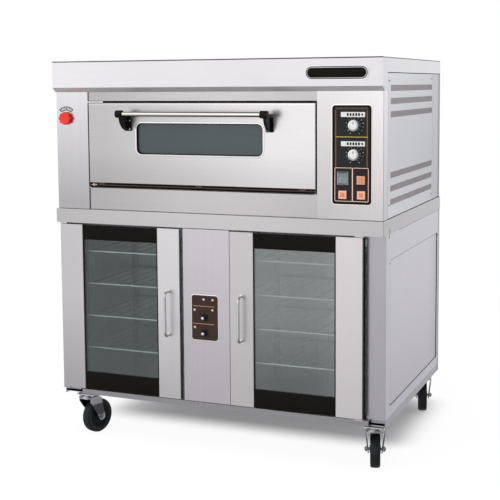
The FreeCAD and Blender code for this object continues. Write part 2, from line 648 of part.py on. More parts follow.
def proof_shelf(x0, x1, z):
    """Wire shelf: rim of thick wire with thin wires front to back."""
    y0, y1, rim_r, wire_r, count = 64.0, 440.0, 3.5, 2.0, 9
    wires = [rod((x0, y, z), (x1, y, z), rim_r) for y in (y0, y1)]
    for i in range(count):
        x = x0 + 24 + (x1 - x0 - 48) * i / (count - 1)
        wires.append(rod((x, y0, z), (x, y1, z), rim_r if i in (0, count - 1) else wire_r))
    return fuse(wires)


def rack_upright(wall_x, inward, y, deeper):
    """Angle upright in a bay's corner: one leg on the wall, one across the bay."""
    leg, t = 20.0, 2.0
    z0, z1 = CABINET_Z + 2.0 + SHEET, 740.0
    far_x, far_y = wall_x + inward * leg, y + deeper * leg
    across = box(*sorted((wall_x, far_x)), *sorted((y, y + deeper * t)), z0, z1)
    on_wall = box(*sorted((wall_x, wall_x + inward * t)), *sorted((y, far_y)), z0, z1)
    return fuse([across, on_wall])


def proofing_racks():
    """Four angle uprights and four wire shelves in each bay."""
    made = []
    for x0, x1 in ((-BAY_HALF + SHEET, PANEL_X[0] - SHEET), (PANEL_X[1] + SHEET, BAY_HALF - SHEET)):
        for y, deeper in ((58.0, 1), (446.0, -1)):
            made.append(rack_upright(x0, 1, y, deeper))
            made.append(rack_upright(x1, -1, y, deeper))
        for z in SHELF_Z:
            made.append(proof_shelf(x0 + 3, x1 - 3, z))
    return made


def water_pan():
    """Humidity pan behind the bays, with its immersion element."""
    outer = box(-150, 150, 520, 760, CABINET_Z + 2, CABINET_Z + 82)
    inner = box(-148.5, 148.5, 521.5, 758.5, CABINET_Z + 3.5, CABINET_Z + 83)
    z = CABINET_Z + 25
    coil = bent_rod([(148.5, 600, z), (-110, 600, z), (-110, 660, z), (148.5, 660, z)], 4.0, 22.0)
    return [outer.cut(inner), coil]


def leaf_pivot_x(leaf):
    return leaf[0] + (PIVOT_IN if leaf[0] < 0 else -PIVOT_IN)


def leaf_stiles(leaf):
    """Two hollow upright stiles; the outer one has end plugs bored for the pivots."""
    outer_x = sorted(leaf[:2])
    inner_x = sorted(leaf[2:])
    plug, t = 12.0, SHEET
    made = []
    for x0, x1 in (outer_x, inner_x):
        body = box(x0, x1, *LEAF_Y, *LEAF_Z)
        body = round_edges(body, 1.5, lambda m, d: m.y < LEAF_Y[0] + 0.1 and abs(d.z) > 100)
        hollow = box(x0 + t, x1 - t, LEAF_Y[0] + t, LEAF_Y[1] - t, LEAF_Z[0] + plug, LEAF_Z[1] - plug)
        made.append(body.cut(hollow))
    x = leaf_pivot_x(leaf)
    bores = [rod((x, LEAF_MID_Y, z - 10), (x, LEAF_MID_Y, z + 10), PIVOT_R + RUN) for z in LEAF_Z]
    made[0] = cut(made[0], bores)
    return made


def leaf_glass(leaf):
    x0, x1 = sorted(leaf[1:3])
    return box(x0, x1, LEAF_Y[0] + 2.5, LEAF_Y[0] + 8.5, LEAF_Z[0] + 1, LEAF_Z[1] - 1)


def leaf_pull(leaf):
    """Bow handle bent from round bar, on the inner stile."""
    x = sum(leaf[2:]) / 2
    y0, y1 = LEAF_Y[0], LEAF_Y[0] - 31
    path = [(x, y0, PULL_Z[0]), (x, y1, PULL_Z[0]), (x, y1, PULL_Z[1]), (x, y0, PULL_Z[1])]
    bow = bent_rod(path, PULL_R, 16.0)
    feet = [rod((x, y0 - 3, z), (x, y0, z), 8.5) for z in PULL_Z]
    return fuse([bow] + feet)


def prover_hinge_brackets():
    """Pivot bracket over and under each door's outer stile, each with its pin."""
    made = []
    for leaf in (LEFT_LEAF, RIGHT_LEAF):
        x = leaf_pivot_x(leaf)
        for z, up in ((LEAF_Z[0], 1), (LEAF_Z[1], -1)):
            far = RAIL_Z if up > 0 else COLLAR_Z - 0.4
            near = z - up * 1.6
            plate = box(x - 15, x + 15, LEAF_Y[0] + 1, POST_Y, *sorted((far, near)))
            pin = rod((x, LEAF_MID_Y, near - up), (x, LEAF_MID_Y, near + up * 9), PIVOT_R)
            made.append(fuse([plate, pin]))
    return made


# ---- castors -------------------------------------------------------------------------------------
def castor_axis(name):
    side, row, _ = CASTORS[name]
    return CASTOR_X[side], CASTOR_Y[row]


def castor_plates():
    """Four top plates, each with the fixed race and king pin of its swivel and four bolt heads."""
    made = []
    wide, deep = PLATE_HALF
    for name in CASTORS:
        x, y = castor_axis(name)
        plate_z = CABINET_Z - 3.5
        plate = box(x - wide, x + wide, y - deep, y + deep, plate_z, CABINET_Z)
        race = rod((x, y, plate_z - 5), (x, y, plate_z), 24.0)
        pin = rod((x, y, CABINET_Z - 20), (x, y, plate_z), KING_PIN_R)
        made.append(fuse([plate, race, pin]))
        for across in (9 - wide, wide - 9):
            for along in (9 - deep, deep - 9):
                at = (x + across, y + along)
                made.append(rod((*at, plate_z - 5), (*at, plate_z), 5.5))
    return made


def placed(shape, name):
    """Turns a castor piece drawn trailing along +X to its rest direction, under its plate."""
    x, y = castor_axis(name)
    shape = shape.copy()
    shape.rotate(V(0, 0, 0), V(0, 0, 1), CASTORS[name][2])
    shape.translate(V(x, y, 0))
    return shape


def castor_fork():
    """Pressed fork: crown with the lower race, two flared legs, and the axle bolt with its nuts."""
    top, foot = CABINET_Z - 9.0, CABINET_Z - 19.0      # crown's upper and lower faces
    at_crown, at_axle, t = 33.0, 24.5, 3.5             # legs' outer faces and their thickness
    bore = KING_PIN_R + RUN
    cone = turned([(bore, 0), (CROWN_R - 2, 0), (CROWN_R - 2, 5), (CROWN_R - 6, 10), (bore, 10)],
                  (0, 0, foot), (0, 0, 1))
    cap = box(-CROWN_R, CROWN_R, -at_crown, at_crown, foot, foot + 3)
    cap = cap.common(rod((0, 0, foot), (0, 0, top), 38.0))
    crown = fuse([cone, cap.cut(rod((0, 0, foot - 1), (0, 0, top), bore))])
    bolt = rod((TRAIL, -36, WHEEL_R), (TRAIL, 36, WHEEL_R), AXLE_R)
    side = [(-22, foot), (30, foot), (33, foot - 12), (TRAIL + 15, WHEEL_R + 4),
            (TRAIL + 10, WHEEL_R - 12), (TRAIL, WHEEL_R - 16), (TRAIL - 10, WHEEL_R - 12),
            (TRAIL - 16, WHEEL_R), (-22, foot - 14)]
    mask = polygon([(x, -60, z) for x, z in side]).extrude(V(0, 120, 0))
    legs = []
    for s in (-1, 1):
        section = [(0, s * at_crown, foot), (0, s * (at_crown - t), foot),
                   (0, s * (at_axle - t), WHEEL_R - 18), (0, s * at_axle, WHEEL_R - 18)]
        leg = polygon(section).extrude(V(120, 0, 0))
        leg.translate(V(-34, 0, 0))
        legs.append(leg.common(mask).cut(bolt))
    return [crown] + legs + [bolt] + [axle_nut(s) for s in (-1, 1)]


def axle_nut(side):
    """Hexagon nut on the axle bolt's end, outside the leg."""
    y0, r = side * 27.2, 9.0
    points = [(TRAIL + r * math.cos(math.radians(a)), y0, WHEEL_R + r * math.sin(math.radians(a)))
              for a in range(0, 360, 60)]
    nut = polygon(points).extrude(V(0, side * 6.0, 0))
    return nut.cut(rod((TRAIL, -40, WHEEL_R), (TRAIL, 40, WHEEL_R), AXLE_R))


def castor_wheel():
    """Rubber tyre on a moulded centre, in one piece, bored for the axle."""
    half, hub, r = WHEEL_HALF, 19.0, WHEEL_R
    bore = AXLE_R + RUN
    upper = [(r, half - 10), (r - 1, half - 5), (r - 5, half), (44, half), (40, 10), (16, 12),
             (14, hub), (bore, hub)]
    lower = [(radius, -height) for radius, height in reversed(upper)]
    profile = lower + upper
    return turned(profile, (TRAIL, 0, r), (0, 1, 0))


# ---- write everything ----------------------------------------------------------------------------
def main():
    os.makedirs("parts", exist_ok=True)
    save("oven_canopy", oven_canopy())
    save("oven_top_cover", oven_top_cover())
    save("oven_side_panel_left", oven_side_panel(-1))
    save("oven_side_panel_right", oven_side_panel(1))
    save("oven_rear_casing", oven_rear_casing())
    save("left_front_column", left_front_column())
    save("control_column", control_column())
    save("oven_front_frame", oven_front_frame())
    save("chamber_liner", chamber_liner())
    save("insulation_jacket", insulation_jacket())
    save("hearth_plate", hearth_plate())
    save("heating_elements", *heating_elements())
    save("door_gasket", door_gasket())
    save("oven_door_skin", oven_door_skin())
    save("oven_door_inner_panel", oven_door_inner_panel())
    save("oven_door_outer_glass", door_glass(GLASS_Y, 12.0))
    save("oven_door_inner_glass", door_glass(12.5, 6.0))
    save("door_handle_bar", door_handle_bar())
    save("door_handle_brackets", *[handle_bracket(x, s) for x, s in zip(handle_centres(), (1, -1))])
    save("door_hinge_shaft", door_hinge_shaft())
    save("control_bezel", control_bezel())
    save("temperature_knob_top", temperature_knob(DIAL_Z[0]))
    save("temperature_knob_bottom", temperature_knob(DIAL_Z[1]))
    save("rocker_switch", rocker_switch())
    for name, (x, z) in BUTTONS.items():
        save("push_button_" + name, push_button(x, z))
    save("control_gear", *control_gear())
    save("nameplate", nameplate())
    save("damper_knob", damper_knob())
    save("damper_flap", damper_flap())
    save("exhaust_duct", *exhaust_duct())
    save("power_inlet", power_inlet())
    save("prover_collar", prover_collar())
    save("prover_frame", prover_frame())
    save("prover_side_plates", *prover_side_plates())
    save("prover_rear_casing", prover_rear_casing())
    save("prover_liner", *prover_liner())
    save("centre_panel", centre_panel())
    save("prover_control_plate", prover_control_plate())
    save("prover_knob_humidity", prover_knob(PROVER_DIAL_Z[0]))
    save("prover_knob_heat", prover_knob(PROVER_DIAL_Z[1]))
    save("proofing_racks", *proofing_racks())
    save("water_pan", *water_pan())
    for name, leaf in (("left_door", LEFT_LEAF), ("right_door", RIGHT_LEAF)):
        save(name + "_stiles", *leaf_stiles(leaf))
        save(name + "_glass", leaf_glass(leaf))
        save(name + "_pull", leaf_pull(leaf))
    save("prover_hinge_brackets", *prover_hinge_brackets())
    save("castor_plates", *castor_plates())
    for name in CASTORS:
        save("castor_fork_" + name, *[placed(piece, name) for piece in castor_fork()])
        save("castor_wheel_" + name, placed(castor_wheel(), name))


main()
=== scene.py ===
"""Looks for the deck oven on its proving cabinet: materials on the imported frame, small trim, light and camera.

Everything is in metres in the frame's own axes: the front faces -Y, +X is to the viewer's right, +Z is up.
"""

import json
import math

import bmesh
import bpy
from mathutils import Matrix, Vector


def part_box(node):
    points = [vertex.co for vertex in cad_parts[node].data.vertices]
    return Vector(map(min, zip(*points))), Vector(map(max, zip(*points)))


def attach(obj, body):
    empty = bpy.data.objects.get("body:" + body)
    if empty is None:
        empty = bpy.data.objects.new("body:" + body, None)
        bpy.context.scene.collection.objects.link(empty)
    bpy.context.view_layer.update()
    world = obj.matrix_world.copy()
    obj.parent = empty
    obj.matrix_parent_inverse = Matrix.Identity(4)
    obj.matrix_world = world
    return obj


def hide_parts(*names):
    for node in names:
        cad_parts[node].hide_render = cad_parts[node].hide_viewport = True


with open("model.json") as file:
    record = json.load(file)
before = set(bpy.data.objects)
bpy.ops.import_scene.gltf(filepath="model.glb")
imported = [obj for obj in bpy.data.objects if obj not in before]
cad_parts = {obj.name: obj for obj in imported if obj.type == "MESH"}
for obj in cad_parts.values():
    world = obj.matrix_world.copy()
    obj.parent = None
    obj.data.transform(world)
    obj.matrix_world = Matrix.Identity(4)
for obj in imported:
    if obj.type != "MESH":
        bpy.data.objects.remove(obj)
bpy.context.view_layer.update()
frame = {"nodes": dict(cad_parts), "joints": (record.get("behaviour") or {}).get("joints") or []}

NODES = frame["nodes"]
JOINTS = {joint["name"]: joint for joint in frame["joints"]}
MM = 0.001
LEFT, RIGHT = -1, 1
FORWARD = (0, -1, 0)
COLUMN_FACE = 395  # mm from the face of the front columns back to y = 0
SMOOTH_BELOW = math.radians(35.0)


# ---- materials ----------------------------------------------------------------------------------------------------
class Shading:
    """A material's node tree with short calls for the nodes used here."""

    def __init__(self, name):
        self.material = bpy.data.materials.new(name)
        self.material.use_nodes = True
        self.tree = self.material.node_tree
        self.tree.nodes.clear()
        self.output = self.tree.nodes.new("ShaderNodeOutputMaterial")
        self.place = self.tree.nodes.new("ShaderNodeTexCoord").outputs["Object"]

    def node(self, kind, inputs=None, **settings):
        made = self.tree.nodes.new("ShaderNode" + kind)
        for key, value in settings.items():
            setattr(made, key, value)
        for key, value in (inputs or {}).items():
            self.feed(made.inputs[key], value)
        return made

    def feed(self, socket, value):
        if isinstance(value, bpy.types.NodeSocket):
            self.tree.links.new(value, socket)
        elif hasattr(socket.default_value, "__len__") and len(value) == 3 and len(socket.default_value) == 4:
            socket.default_value = (*value, 1.0)
        else:
            socket.default_value = value

    def along(self, axis):
        return self.node("SeparateXYZ", {0: self.place}).outputs[axis.upper()]

    def fade(self, axis, start, end, first, last):
        """Goes from first to last between two places along an axis."""
        return self.node("MapRange", {"Value": self.along(axis), "From Min": start, "From Max": end,
                                      "To Min": first, "To Max": last}).outputs[0]

    def noise(self, scale, detail=3.0, roughness=0.55, stretch=(1, 1, 1), distortion=0.0):
        spread = self.node("Mapping", {"Vector": self.place, "Scale": stretch})
        made = self.node("TexNoise", {"Vector": spread.outputs[0], "Scale": scale, "Detail": detail,
                                      "Roughness": roughness, "Distortion": distortion})
        return made.outputs["Fac"]

    def span(self, value, low, high, start=0.3, end=0.7):
        """Maps a noise value from start..end to low..high."""
        made = self.node("MapRange", {"Value": value, "From Min": start, "From Max": end,
                                      "To Min": low, "To Max": high})
        return made.outputs[0]

    def colours(self, value, first, second, start=0.3, end=0.7):
        made = self.node("ValToRGB", {"Fac": value})
        made.color_ramp.elements[0].position = start
        made.color_ramp.elements[0].color = (*first, 1)
        made.color_ramp.elements[1].position = end
        made.color_ramp.elements[1].color = (*second, 1)
        return made.outputs["Color"]

    def add(self, first, second, weight=1.0):
        weighted = self.node("Math", {0: second, 1: weight}, operation="MULTIPLY")
        return self.node("Math", {0: first, 1: weighted.outputs[0]}, operation="ADD").outputs[0]

    def bump(self, height, distance):
        return self.node("Bump", {"Height": height, "Distance": distance, "Strength": 1.0}).outputs[0]

    def principled(self, **inputs):
        names = {key.replace("_", " "): value for key, value in inputs.items()}
        shader = self.node("BsdfPrincipled", names)
        self.tree.links.new(shader.outputs[0], self.output.inputs["Surface"])
        return self.material


def scaled(colour, factor):
    return tuple(c * factor for c in colour)


def brushed_steel(name, tint, grain, rough=(0.2, 0.26), painted_shades=(), dull=None):
    """Brushed sheet: hairline scratches along one axis, broad streaks and dull smudges.

    Each painted shade (axis, start, end, first, last) multiplies the tint by first before start and by last after
    end, painting light and shade into the colour; dull adds to the roughness in the same way.
    """
    s = Shading(name)
    along = {"x": (0.015, 1, 1), "y": (1, 0.015, 1), "z": (1, 1, 0.015)}[grain]
    scratches = s.noise(900.0, 2.0, 0.7, along)
    streaks = s.noise(60.0, 3.0, 0.6, along)
    smudges = s.noise(5.0, 3.0, 0.5)
    dulled = s.add(s.add(scratches, streaks, 0.6), smudges, 0.8)
    colour = s.colours(streaks, scaled(tint, 0.97), tint)
    # Painted light and shade: each painted shade scales the tint along one axis.
    for shade in painted_shades:
        colour = s.node("VectorMath", {0: colour, "Scale": s.fade(*shade)}, operation="SCALE").outputs[0]
    roughness = s.span(dulled, rough[0], rough[1], 0.9, 1.5)
    if dull:
        roughness = s.add(roughness, s.fade(*dull))
    return s.principled(Base_Color=colour, Metallic=1.0, Roughness=roughness, Normal=s.bump(scratches, 0.00002))


def polished_metal(name, tint, rough=(0.06, 0.14)):
    s = Shading(name)
    marks = s.noise(90.0, 5.0, 0.65)
    return s.principled(Base_Color=s.colours(marks, scaled(tint, 0.93), tint), Metallic=1.0,
                        Roughness=s.span(marks, *rough), Normal=s.bump(s.noise(340.0), 0.00002))


def zinc_plate(name, tint):
    """Zinc plating: cloudy spangle and small dull spots."""
    s = Shading(name)
    clouds = s.noise(60.0, 5.0, 0.6, distortion=0.8)
    spots = s.noise(420.0, 2.0)
    return s.principled(Base_Color=s.colours(clouds, scaled(tint, 0.78), tint), Metallic=1.0,
                        Roughness=s.span(s.add(clouds, spots, 0.4), 0.2, 0.42, 0.4, 1.0),
                        Normal=s.bump(spots, 0.00004))


def moulded(name, colour, rough=(0.42, 0.55), grain=900.0, depth=0.00005, coat=0.0, mirror=0.3):
    """Moulded plastic: fine even grain with faint handling marks."""
    s = Shading(name)
    pits = s.noise(grain, 2.0, 0.6)
    marks = s.noise(35.0, 4.0, 0.6)
    return s.principled(Base_Color=s.colours(marks, scaled(colour, 0.85), scaled(colour, 1.1)),
                        Roughness=s.span(marks, *rough), Specular_IOR_Level=mirror,
                        Coat_Weight=coat, Coat_Roughness=0.08,
                        Normal=s.bump(pits, depth))


def printed(name, colour, rough=(0.3, 0.4), mirror=0.2):
    """Screen-printed ink or enamel: nearly even, with faint mottling."""
    s = Shading(name)
    mottle = s.noise(260.0, 3.0)
    return s.principled(Base_Color=s.colours(mottle, scaled(colour, 0.88), scaled(colour, 1.06)),
                        Roughness=s.span(mottle, *rough), Specular_IOR_Level=mirror,
                        Normal=s.bump(mottle, 0.00002))


def see_through(name, tint, reflection_tone, reflection_share, reflection_band=None):
    """Pane of glass: tinted clear part, a diffuse layer of painted reflection that gives the pane its tone, and a
    reflection that grows at grazing angles.

    The last argument (axis, start, end, first, last) replaces the diffuse layer's even share by one that changes
    along an axis.
    """
    s = Shading(name)
    reflection_mottle = s.noise(9.0, 4.0, 0.6, (1, 1, 0.4), 0.6)
    clear = s.node("BsdfTransparent", {"Color": tint})
    reflection_layer = s.node("BsdfDiffuse", {"Color": s.colours(reflection_mottle, scaled(reflection_tone, 0.9), reflection_tone)})
    mirror = s.node("BsdfGlossy", {"Color": (1.0, 1.0, 1.0), "Roughness": 0.03,
                                   "Normal": s.bump(s.noise(1.6, 1.0), 0.0004)})
    share = s.fade(*reflection_band) if reflection_band else reflection_share
    body = s.node("MixShader", {"Fac": share, 1: clear.outputs[0], 2: reflection_layer.outputs[0]})
    edge = s.node("Fresnel", {"IOR": 1.52})
    whole = s.node("MixShader", {"Fac": edge.outputs[0], 1: body.outputs[0], 2: mirror.outputs[0]})
    s.tree.links.new(whole.outputs[0], s.output.inputs["Surface"])
    return s.material


def mineral_wool():
    s = Shading("mineral_wool")
    fibres = s.noise(260.0, 6.0, 0.75, (1, 0.25, 1), 1.5)
    tufts = s.noise(26.0, 4.0)
    colour = s.colours(s.add(fibres, tufts, 0.5), (0.26, 0.15, 0.11), (0.62, 0.44, 0.37), 0.5, 1.0)
    return s.principled(Base_Color=colour, Roughness=0.95, Sheen_Weight=0.4,
                        Normal=s.bump(fibres, 0.002))


def tyre_rubber():
    s = Shading("tyre_rubber")
    dust = s.noise(70.0, 5.0, 0.65)
    grain = s.noise(800.0, 2.0)
    return s.principled(Base_Color=s.colours(dust, (0.006, 0.007, 0.008), (0.016, 0.017, 0.018)),
                        Roughness=s.span(dust, 0.35, 0.5), Specular_IOR_Level=0.2, Normal=s.bump(grain, 0.0001))


def hearth_iron():
    s = Shading("hearth_iron")
    scale = s.noise(24.0, 6.0, 0.7)
    fine = s.noise(420.0, 3.0)
    return s.principled(Base_Color=s.colours(scale, (0.07, 0.065, 0.06), (0.2, 0.185, 0.17)), Metallic=0.7,
                        Roughness=s.span(scale, 0.45, 0.75), Normal=s.bump(s.add(scale, fine, 0.3), 0.0004))


def heated_sheath():
    """Element sheath, tinted straw and blue by heat."""
    s = Shading("heated_sheath")
    bands = s.noise(9.0, 3.0)
    return s.principled(Base_Color=s.colours(bands, (0.18, 0.14, 0.11), (0.22, 0.24, 0.3)), Metallic=0.9,
                        Roughness=s.span(s.noise(200.0), 0.35, 0.6), Normal=s.bump(s.noise(500.0), 0.00008))


def smoked_lens(name, low, high):
    """Moulded translucent cap: ribbed lens seen through a glossy face."""
    s = Shading(name)
    marks = s.noise(120.0, 3.0)
    return s.principled(Base_Color=s.colours(marks, low, high), Roughness=s.span(marks, 0.18, 0.3),
                        Coat_Weight=0.6, Coat_Roughness=0.05, Normal=s.bump(s.noise(500.0), 0.00003))


STEEL_TINT = (0.80, 0.79, 0.795)
MATERIALS = {
    "steel_x": brushed_steel("steel_x", STEEL_TINT, "x"),
    # Painted shade: a dark line along the top edge of the cover's skirt, lifted again on the flat top.
    "cover": brushed_steel("cover_steel", STEEL_TINT, "x",
                           painted_shades=[("z", 1.3735, 1.374, 1.0, 0.14), ("z", 1.3772, 1.3776, 1.0, 7.1)]),
    # Painted light and shade: lighter to the left, a brighter band on the lower return and a dark line along the top
    # edge; dull only roughens the return.
    "canopy": brushed_steel("canopy_steel", (0.83, 0.81, 0.835), "x",
                            painted_shades=[("x", -0.55, 0.15, 1.06, 0.94), ("z", 1.2838, 1.2846, 1.45, 1.0),
                                    ("z", 1.3735, 1.374, 1.0, 0.12), ("z", 1.3772, 1.3776, 1.0, 8.3)],
                            dull=("z", 1.2838, 1.2846, 0.35, 0.0)),
    # Painted reflection and shade: darker at the left and lighter at the right, darker towards the bottom, and a
    # bright line painted along the top edge.
    "door": brushed_steel("door_steel", (0.82, 0.8, 0.805), "x", (0.25, 0.31),
                          painted_shades=[("x", -0.42, 0.24, 0.71, 1.09), ("z", 0.96, 1.06, 0.84, 1.0),
                                  ("z", 1.2225, 1.2235, 1.0, 1.2)]),
    # Painted reflection and shade: darker to the left and a little to the right, and a dark band painted as shadow
    # across the lugs under the door.
    "front_frame": brushed_steel("front_frame_steel", (0.8, 0.775, 0.785), "x",
                                 painted_shades=[("x", -0.44, -0.12, 0.66, 0.79), ("x", 0.1, 0.36, 1.0, 0.9),
                                         ("z", 0.9275, 0.9285, 1.0, 0.1), ("z", 0.9435, 0.9445, 1.0, 10.0)]),
    # Painted shade: darker towards the bottom.
    "left_column": brushed_steel("left_column_steel", (0.8, 0.79, 0.81), "z",
                                 painted_shades=[("z", 0.88, 1.26, 0.65, 1.03)]),
    # Painted shade and highlight: darker towards the bottom, lighter along the right edge.
    "control_column": brushed_steel("control_column_steel", (0.81, 0.79, 0.795), "z",
                                    painted_shades=[("z", 0.88, 1.26, 0.76, 0.98), ("x", 0.42, 0.6, 1.0, 1.14)]),
    # Painted shade: the front faces of the posts, the bottom rail and a strip at the rear are darker.
    "frame": brushed_steel("frame_steel", (0.76, 0.75, 0.79), "z", (0.26, 0.34),
                           painted_shades=[("y", -0.3668, -0.3662, 0.70, 1.0), ("z", 0.1775, 0.1785, 0.72, 1.0),
                                   ("y", 0.4135, 0.4145, 1.0, 0.65)]),
    # Painted shade: darker towards the bottom and towards the rear.
    "side_plate": brushed_steel("side_plate_steel", (0.78, 0.755, 0.8), "z", (0.26, 0.34),
                                painted_shades=[("z", 0.25, 0.5, 0.94, 1.02), ("y", 0.25, 0.42, 1.0, 0.85)]),
    # Painted shade: a tint darker than the other steel, and darker towards both ends.
    "collar": brushed_steel("collar_steel", (0.68, 0.662, 0.67), "x", (0.24, 0.3),
                            painted_shades=[("x", -0.6, -0.1, 0.87, 1.0), ("x", 0.1, 0.45, 1.0, 0.92)]),
    # Painted shade and reflection: a darker tint, darker towards the bottom, lighter towards the right.
    "left_leaf": brushed_steel("left_leaf_steel", (0.74, 0.72, 0.735), "z", (0.34, 0.42),
                               painted_shades=[("z", 0.2, 0.52, 0.77, 1.0), ("x", -0.55, -0.2, 0.95, 1.14)]),
    # Painted shade and reflection: darker towards the bottom, lighter towards the right.
    "right_leaf": brushed_steel("right_leaf_steel", (0.78, 0.755, 0.765), "z", (0.34, 0.42),
                                painted_shades=[("z", 0.2, 0.52, 0.93, 1.0), ("x", 0.16, 0.45, 0.94, 1.13)]),
    # Painted shade: a darker tint than the other steel, and darker towards the bottom.
    "centre_panel": brushed_steel("centre_panel_steel", (0.68, 0.65, 0.69), "z",
                                  painted_shades=[("z", 0.2, 0.7, 0.9, 1.0)]),
    "steel_z": brushed_steel("steel_z", STEEL_TINT, "z"),
    # Painted shade: a much darker tint than the other steel, darkening further towards the rear edge, lifted again
    # on the back face.
    "rear": brushed_steel("rear_steel", (0.52, 0.51, 0.525), "z",
                          painted_shades=[("y", 0.39, 0.43, 1.0, 0.3), ("y", 0.4394, 0.4398, 1.0, 4.6)]),
    # Painted light and shade: darker towards the rear, lighter along the bottom and along the top band.
    "oven_side": brushed_steel("oven_side_steel", (0.78, 0.785, 0.80), "y",
                               painted_shades=[("y", -0.35, 0.36, 0.86, 0.68), ("z", 0.86, 0.98, 1.2, 1.0),
                                       ("z", 1.2, 1.32, 1.0, 1.12)]),
    "liner": brushed_steel("liner_steel", (0.74, 0.77, 0.77), "z", (0.26, 0.38)),
    "baked_liner": brushed_steel("baked_liner", (0.42, 0.38, 0.33), "y", (0.4, 0.6)),
    "chrome": polished_metal("chrome", (0.86, 0.85, 0.83)),
    # Painted reflection and shade: a cream-white tint, with dark bands painted along the top and the underside of
    # the bar.
    "bar": brushed_steel("handle_bar", (0.98, 0.95, 0.87), "x", (0.1, 0.16),
                         painted_shades=[("z", 1.1874, 1.188, 0.04, 1.0), ("z", 1.1972, 1.1978, 1.0, 0.12)]),
    # Painted highlight: a tint whiter than the other steel, so that the edges and trims in this look read as bright
    # lines.
    "rim": brushed_steel("rim_highlight_steel", (1.0, 0.99, 0.98), "x"),
    # Painted shade: the wires behind the front rims are darker.
    "rack": brushed_steel("rack_wire", (0.97, 0.98, 0.96), "x", (0.25, 0.4),
                          painted_shades=[("y", -0.325, -0.318, 1.0, 0.6)]),
    # Painted shade and highlight: a dark tint, with bright bands painted at the crown and at the tips of the legs.
    "fork": brushed_steel("castor_fork", (0.13, 0.13, 0.135), "z", (0.1, 0.2),
                          painted_shades=[("z", 0.07, 0.075, 4.0, 1.0), ("z", 0.112, 0.12, 1.0, 4.5)]),
    "shaft": brushed_steel("hinge_shaft", (0.09, 0.07, 0.06), "x", (0.3, 0.4),
                           painted_shades=[("x", -0.452, -0.448, 9.0, 1.0)]),
    "zinc": zinc_plate("zinc_plate", (0.78, 0.78, 0.8)),
    "black": moulded("black_plastic", (0.012, 0.012, 0.013)),
    "gear": moulded("switch_body", (0.05, 0.05, 0.055)),
    "red": moulded("red_plastic", (0.72, 0.022, 0.016), (0.28, 0.4), coat=0.3),
    "silver": polished_metal("dial_silver", (0.88, 0.88, 0.89), (0.18, 0.3)),
    "bezel": printed("bezel_plate", (0.018, 0.011, 0.009)),
    "dial_field": printed("dial_field", (0.012, 0.013, 0.014)),
    "top_field": printed("top_field", (0.062, 0.044, 0.038)),
    "gold": printed("gold_ink", (0.5, 0.38, 0.08)),
    "bronze": printed("bronze_ink", (0.2, 0.145, 0.075)),
    "pale": printed("pale_ink", (0.72, 0.5, 0.42)),
    "white": printed("white_ink", (0.64, 0.63, 0.61)),
    "copper": printed("copper_ink", (0.42, 0.2, 0.13)),
    "brown": printed("brown_plate", (0.035, 0.019, 0.014)),
    "amber": smoked_lens("amber_lens", (0.5, 0.17, 0.08), (0.6, 0.22, 0.11)),
    "coral": smoked_lens("coral_lens", (0.55, 0.12, 0.06), (0.68, 0.17, 0.09)),
    "button_rim": smoked_lens("button_rim", (0.6, 0.33, 0.22), (0.7, 0.41, 0.28)),
    "rocker": smoked_lens("rocker_cap", (0.12, 0.155, 0.165), (0.18, 0.22, 0.235)),
    "enamel": printed("black_enamel", (0.006, 0.005, 0.004), (0.16, 0.24), 0.06),
    "bracket": printed("bracket_gloss", (0.005, 0.005, 0.005), (0.12, 0.2), 0.16),
    # Painted highlight: a pale paint on the shelf rims, in place of wire metal, so that they read bright.
    "wire_rim": printed("wire_rim", (0.8, 0.83, 0.82), mirror=0.5),
    "scale_ink": printed("scale_ink", (0.02, 0.02, 0.022)),
    "vent_board": moulded("vent_board", (0.2, 0.06, 0.05), (0.7, 0.85), 300.0, 0.0002),
    "seal": moulded("seal_rubber", (0.006, 0.006, 0.006), (0.6, 0.75), 500.0, 0.0001, mirror=0.1),
    # Painted reflection: the diffuse layer of each pane paints in its tone; on the left pane it fades out towards
    # the top, on the right pane it grows towards the top.
    "oven_glass": see_through("oven_glass", (0.62, 0.68, 0.68), (0.095, 0.125, 0.135), 0.4),
    "left_glass": see_through("left_prover_glass", (0.82, 0.87, 0.86), (0.2, 0.26, 0.25), 0.03,
                              ("z", 0.4, 0.7, 0.06, 0.0)),
    "right_glass": see_through("right_prover_glass", (0.84, 0.88, 0.88), (0.56, 0.58, 0.575), 0.06,
                               ("z", 0.28, 0.5, 0.06, 0.17)),
    "wool": mineral_wool(),
    "tyre": tyre_rubber(),
    "hub": moulded("wheel_hub", (0.008, 0.009, 0.01), (0.2, 0.35), mirror=0.25),
    "hearth": hearth_iron(),
    "sheath": heated_sheath(),
}

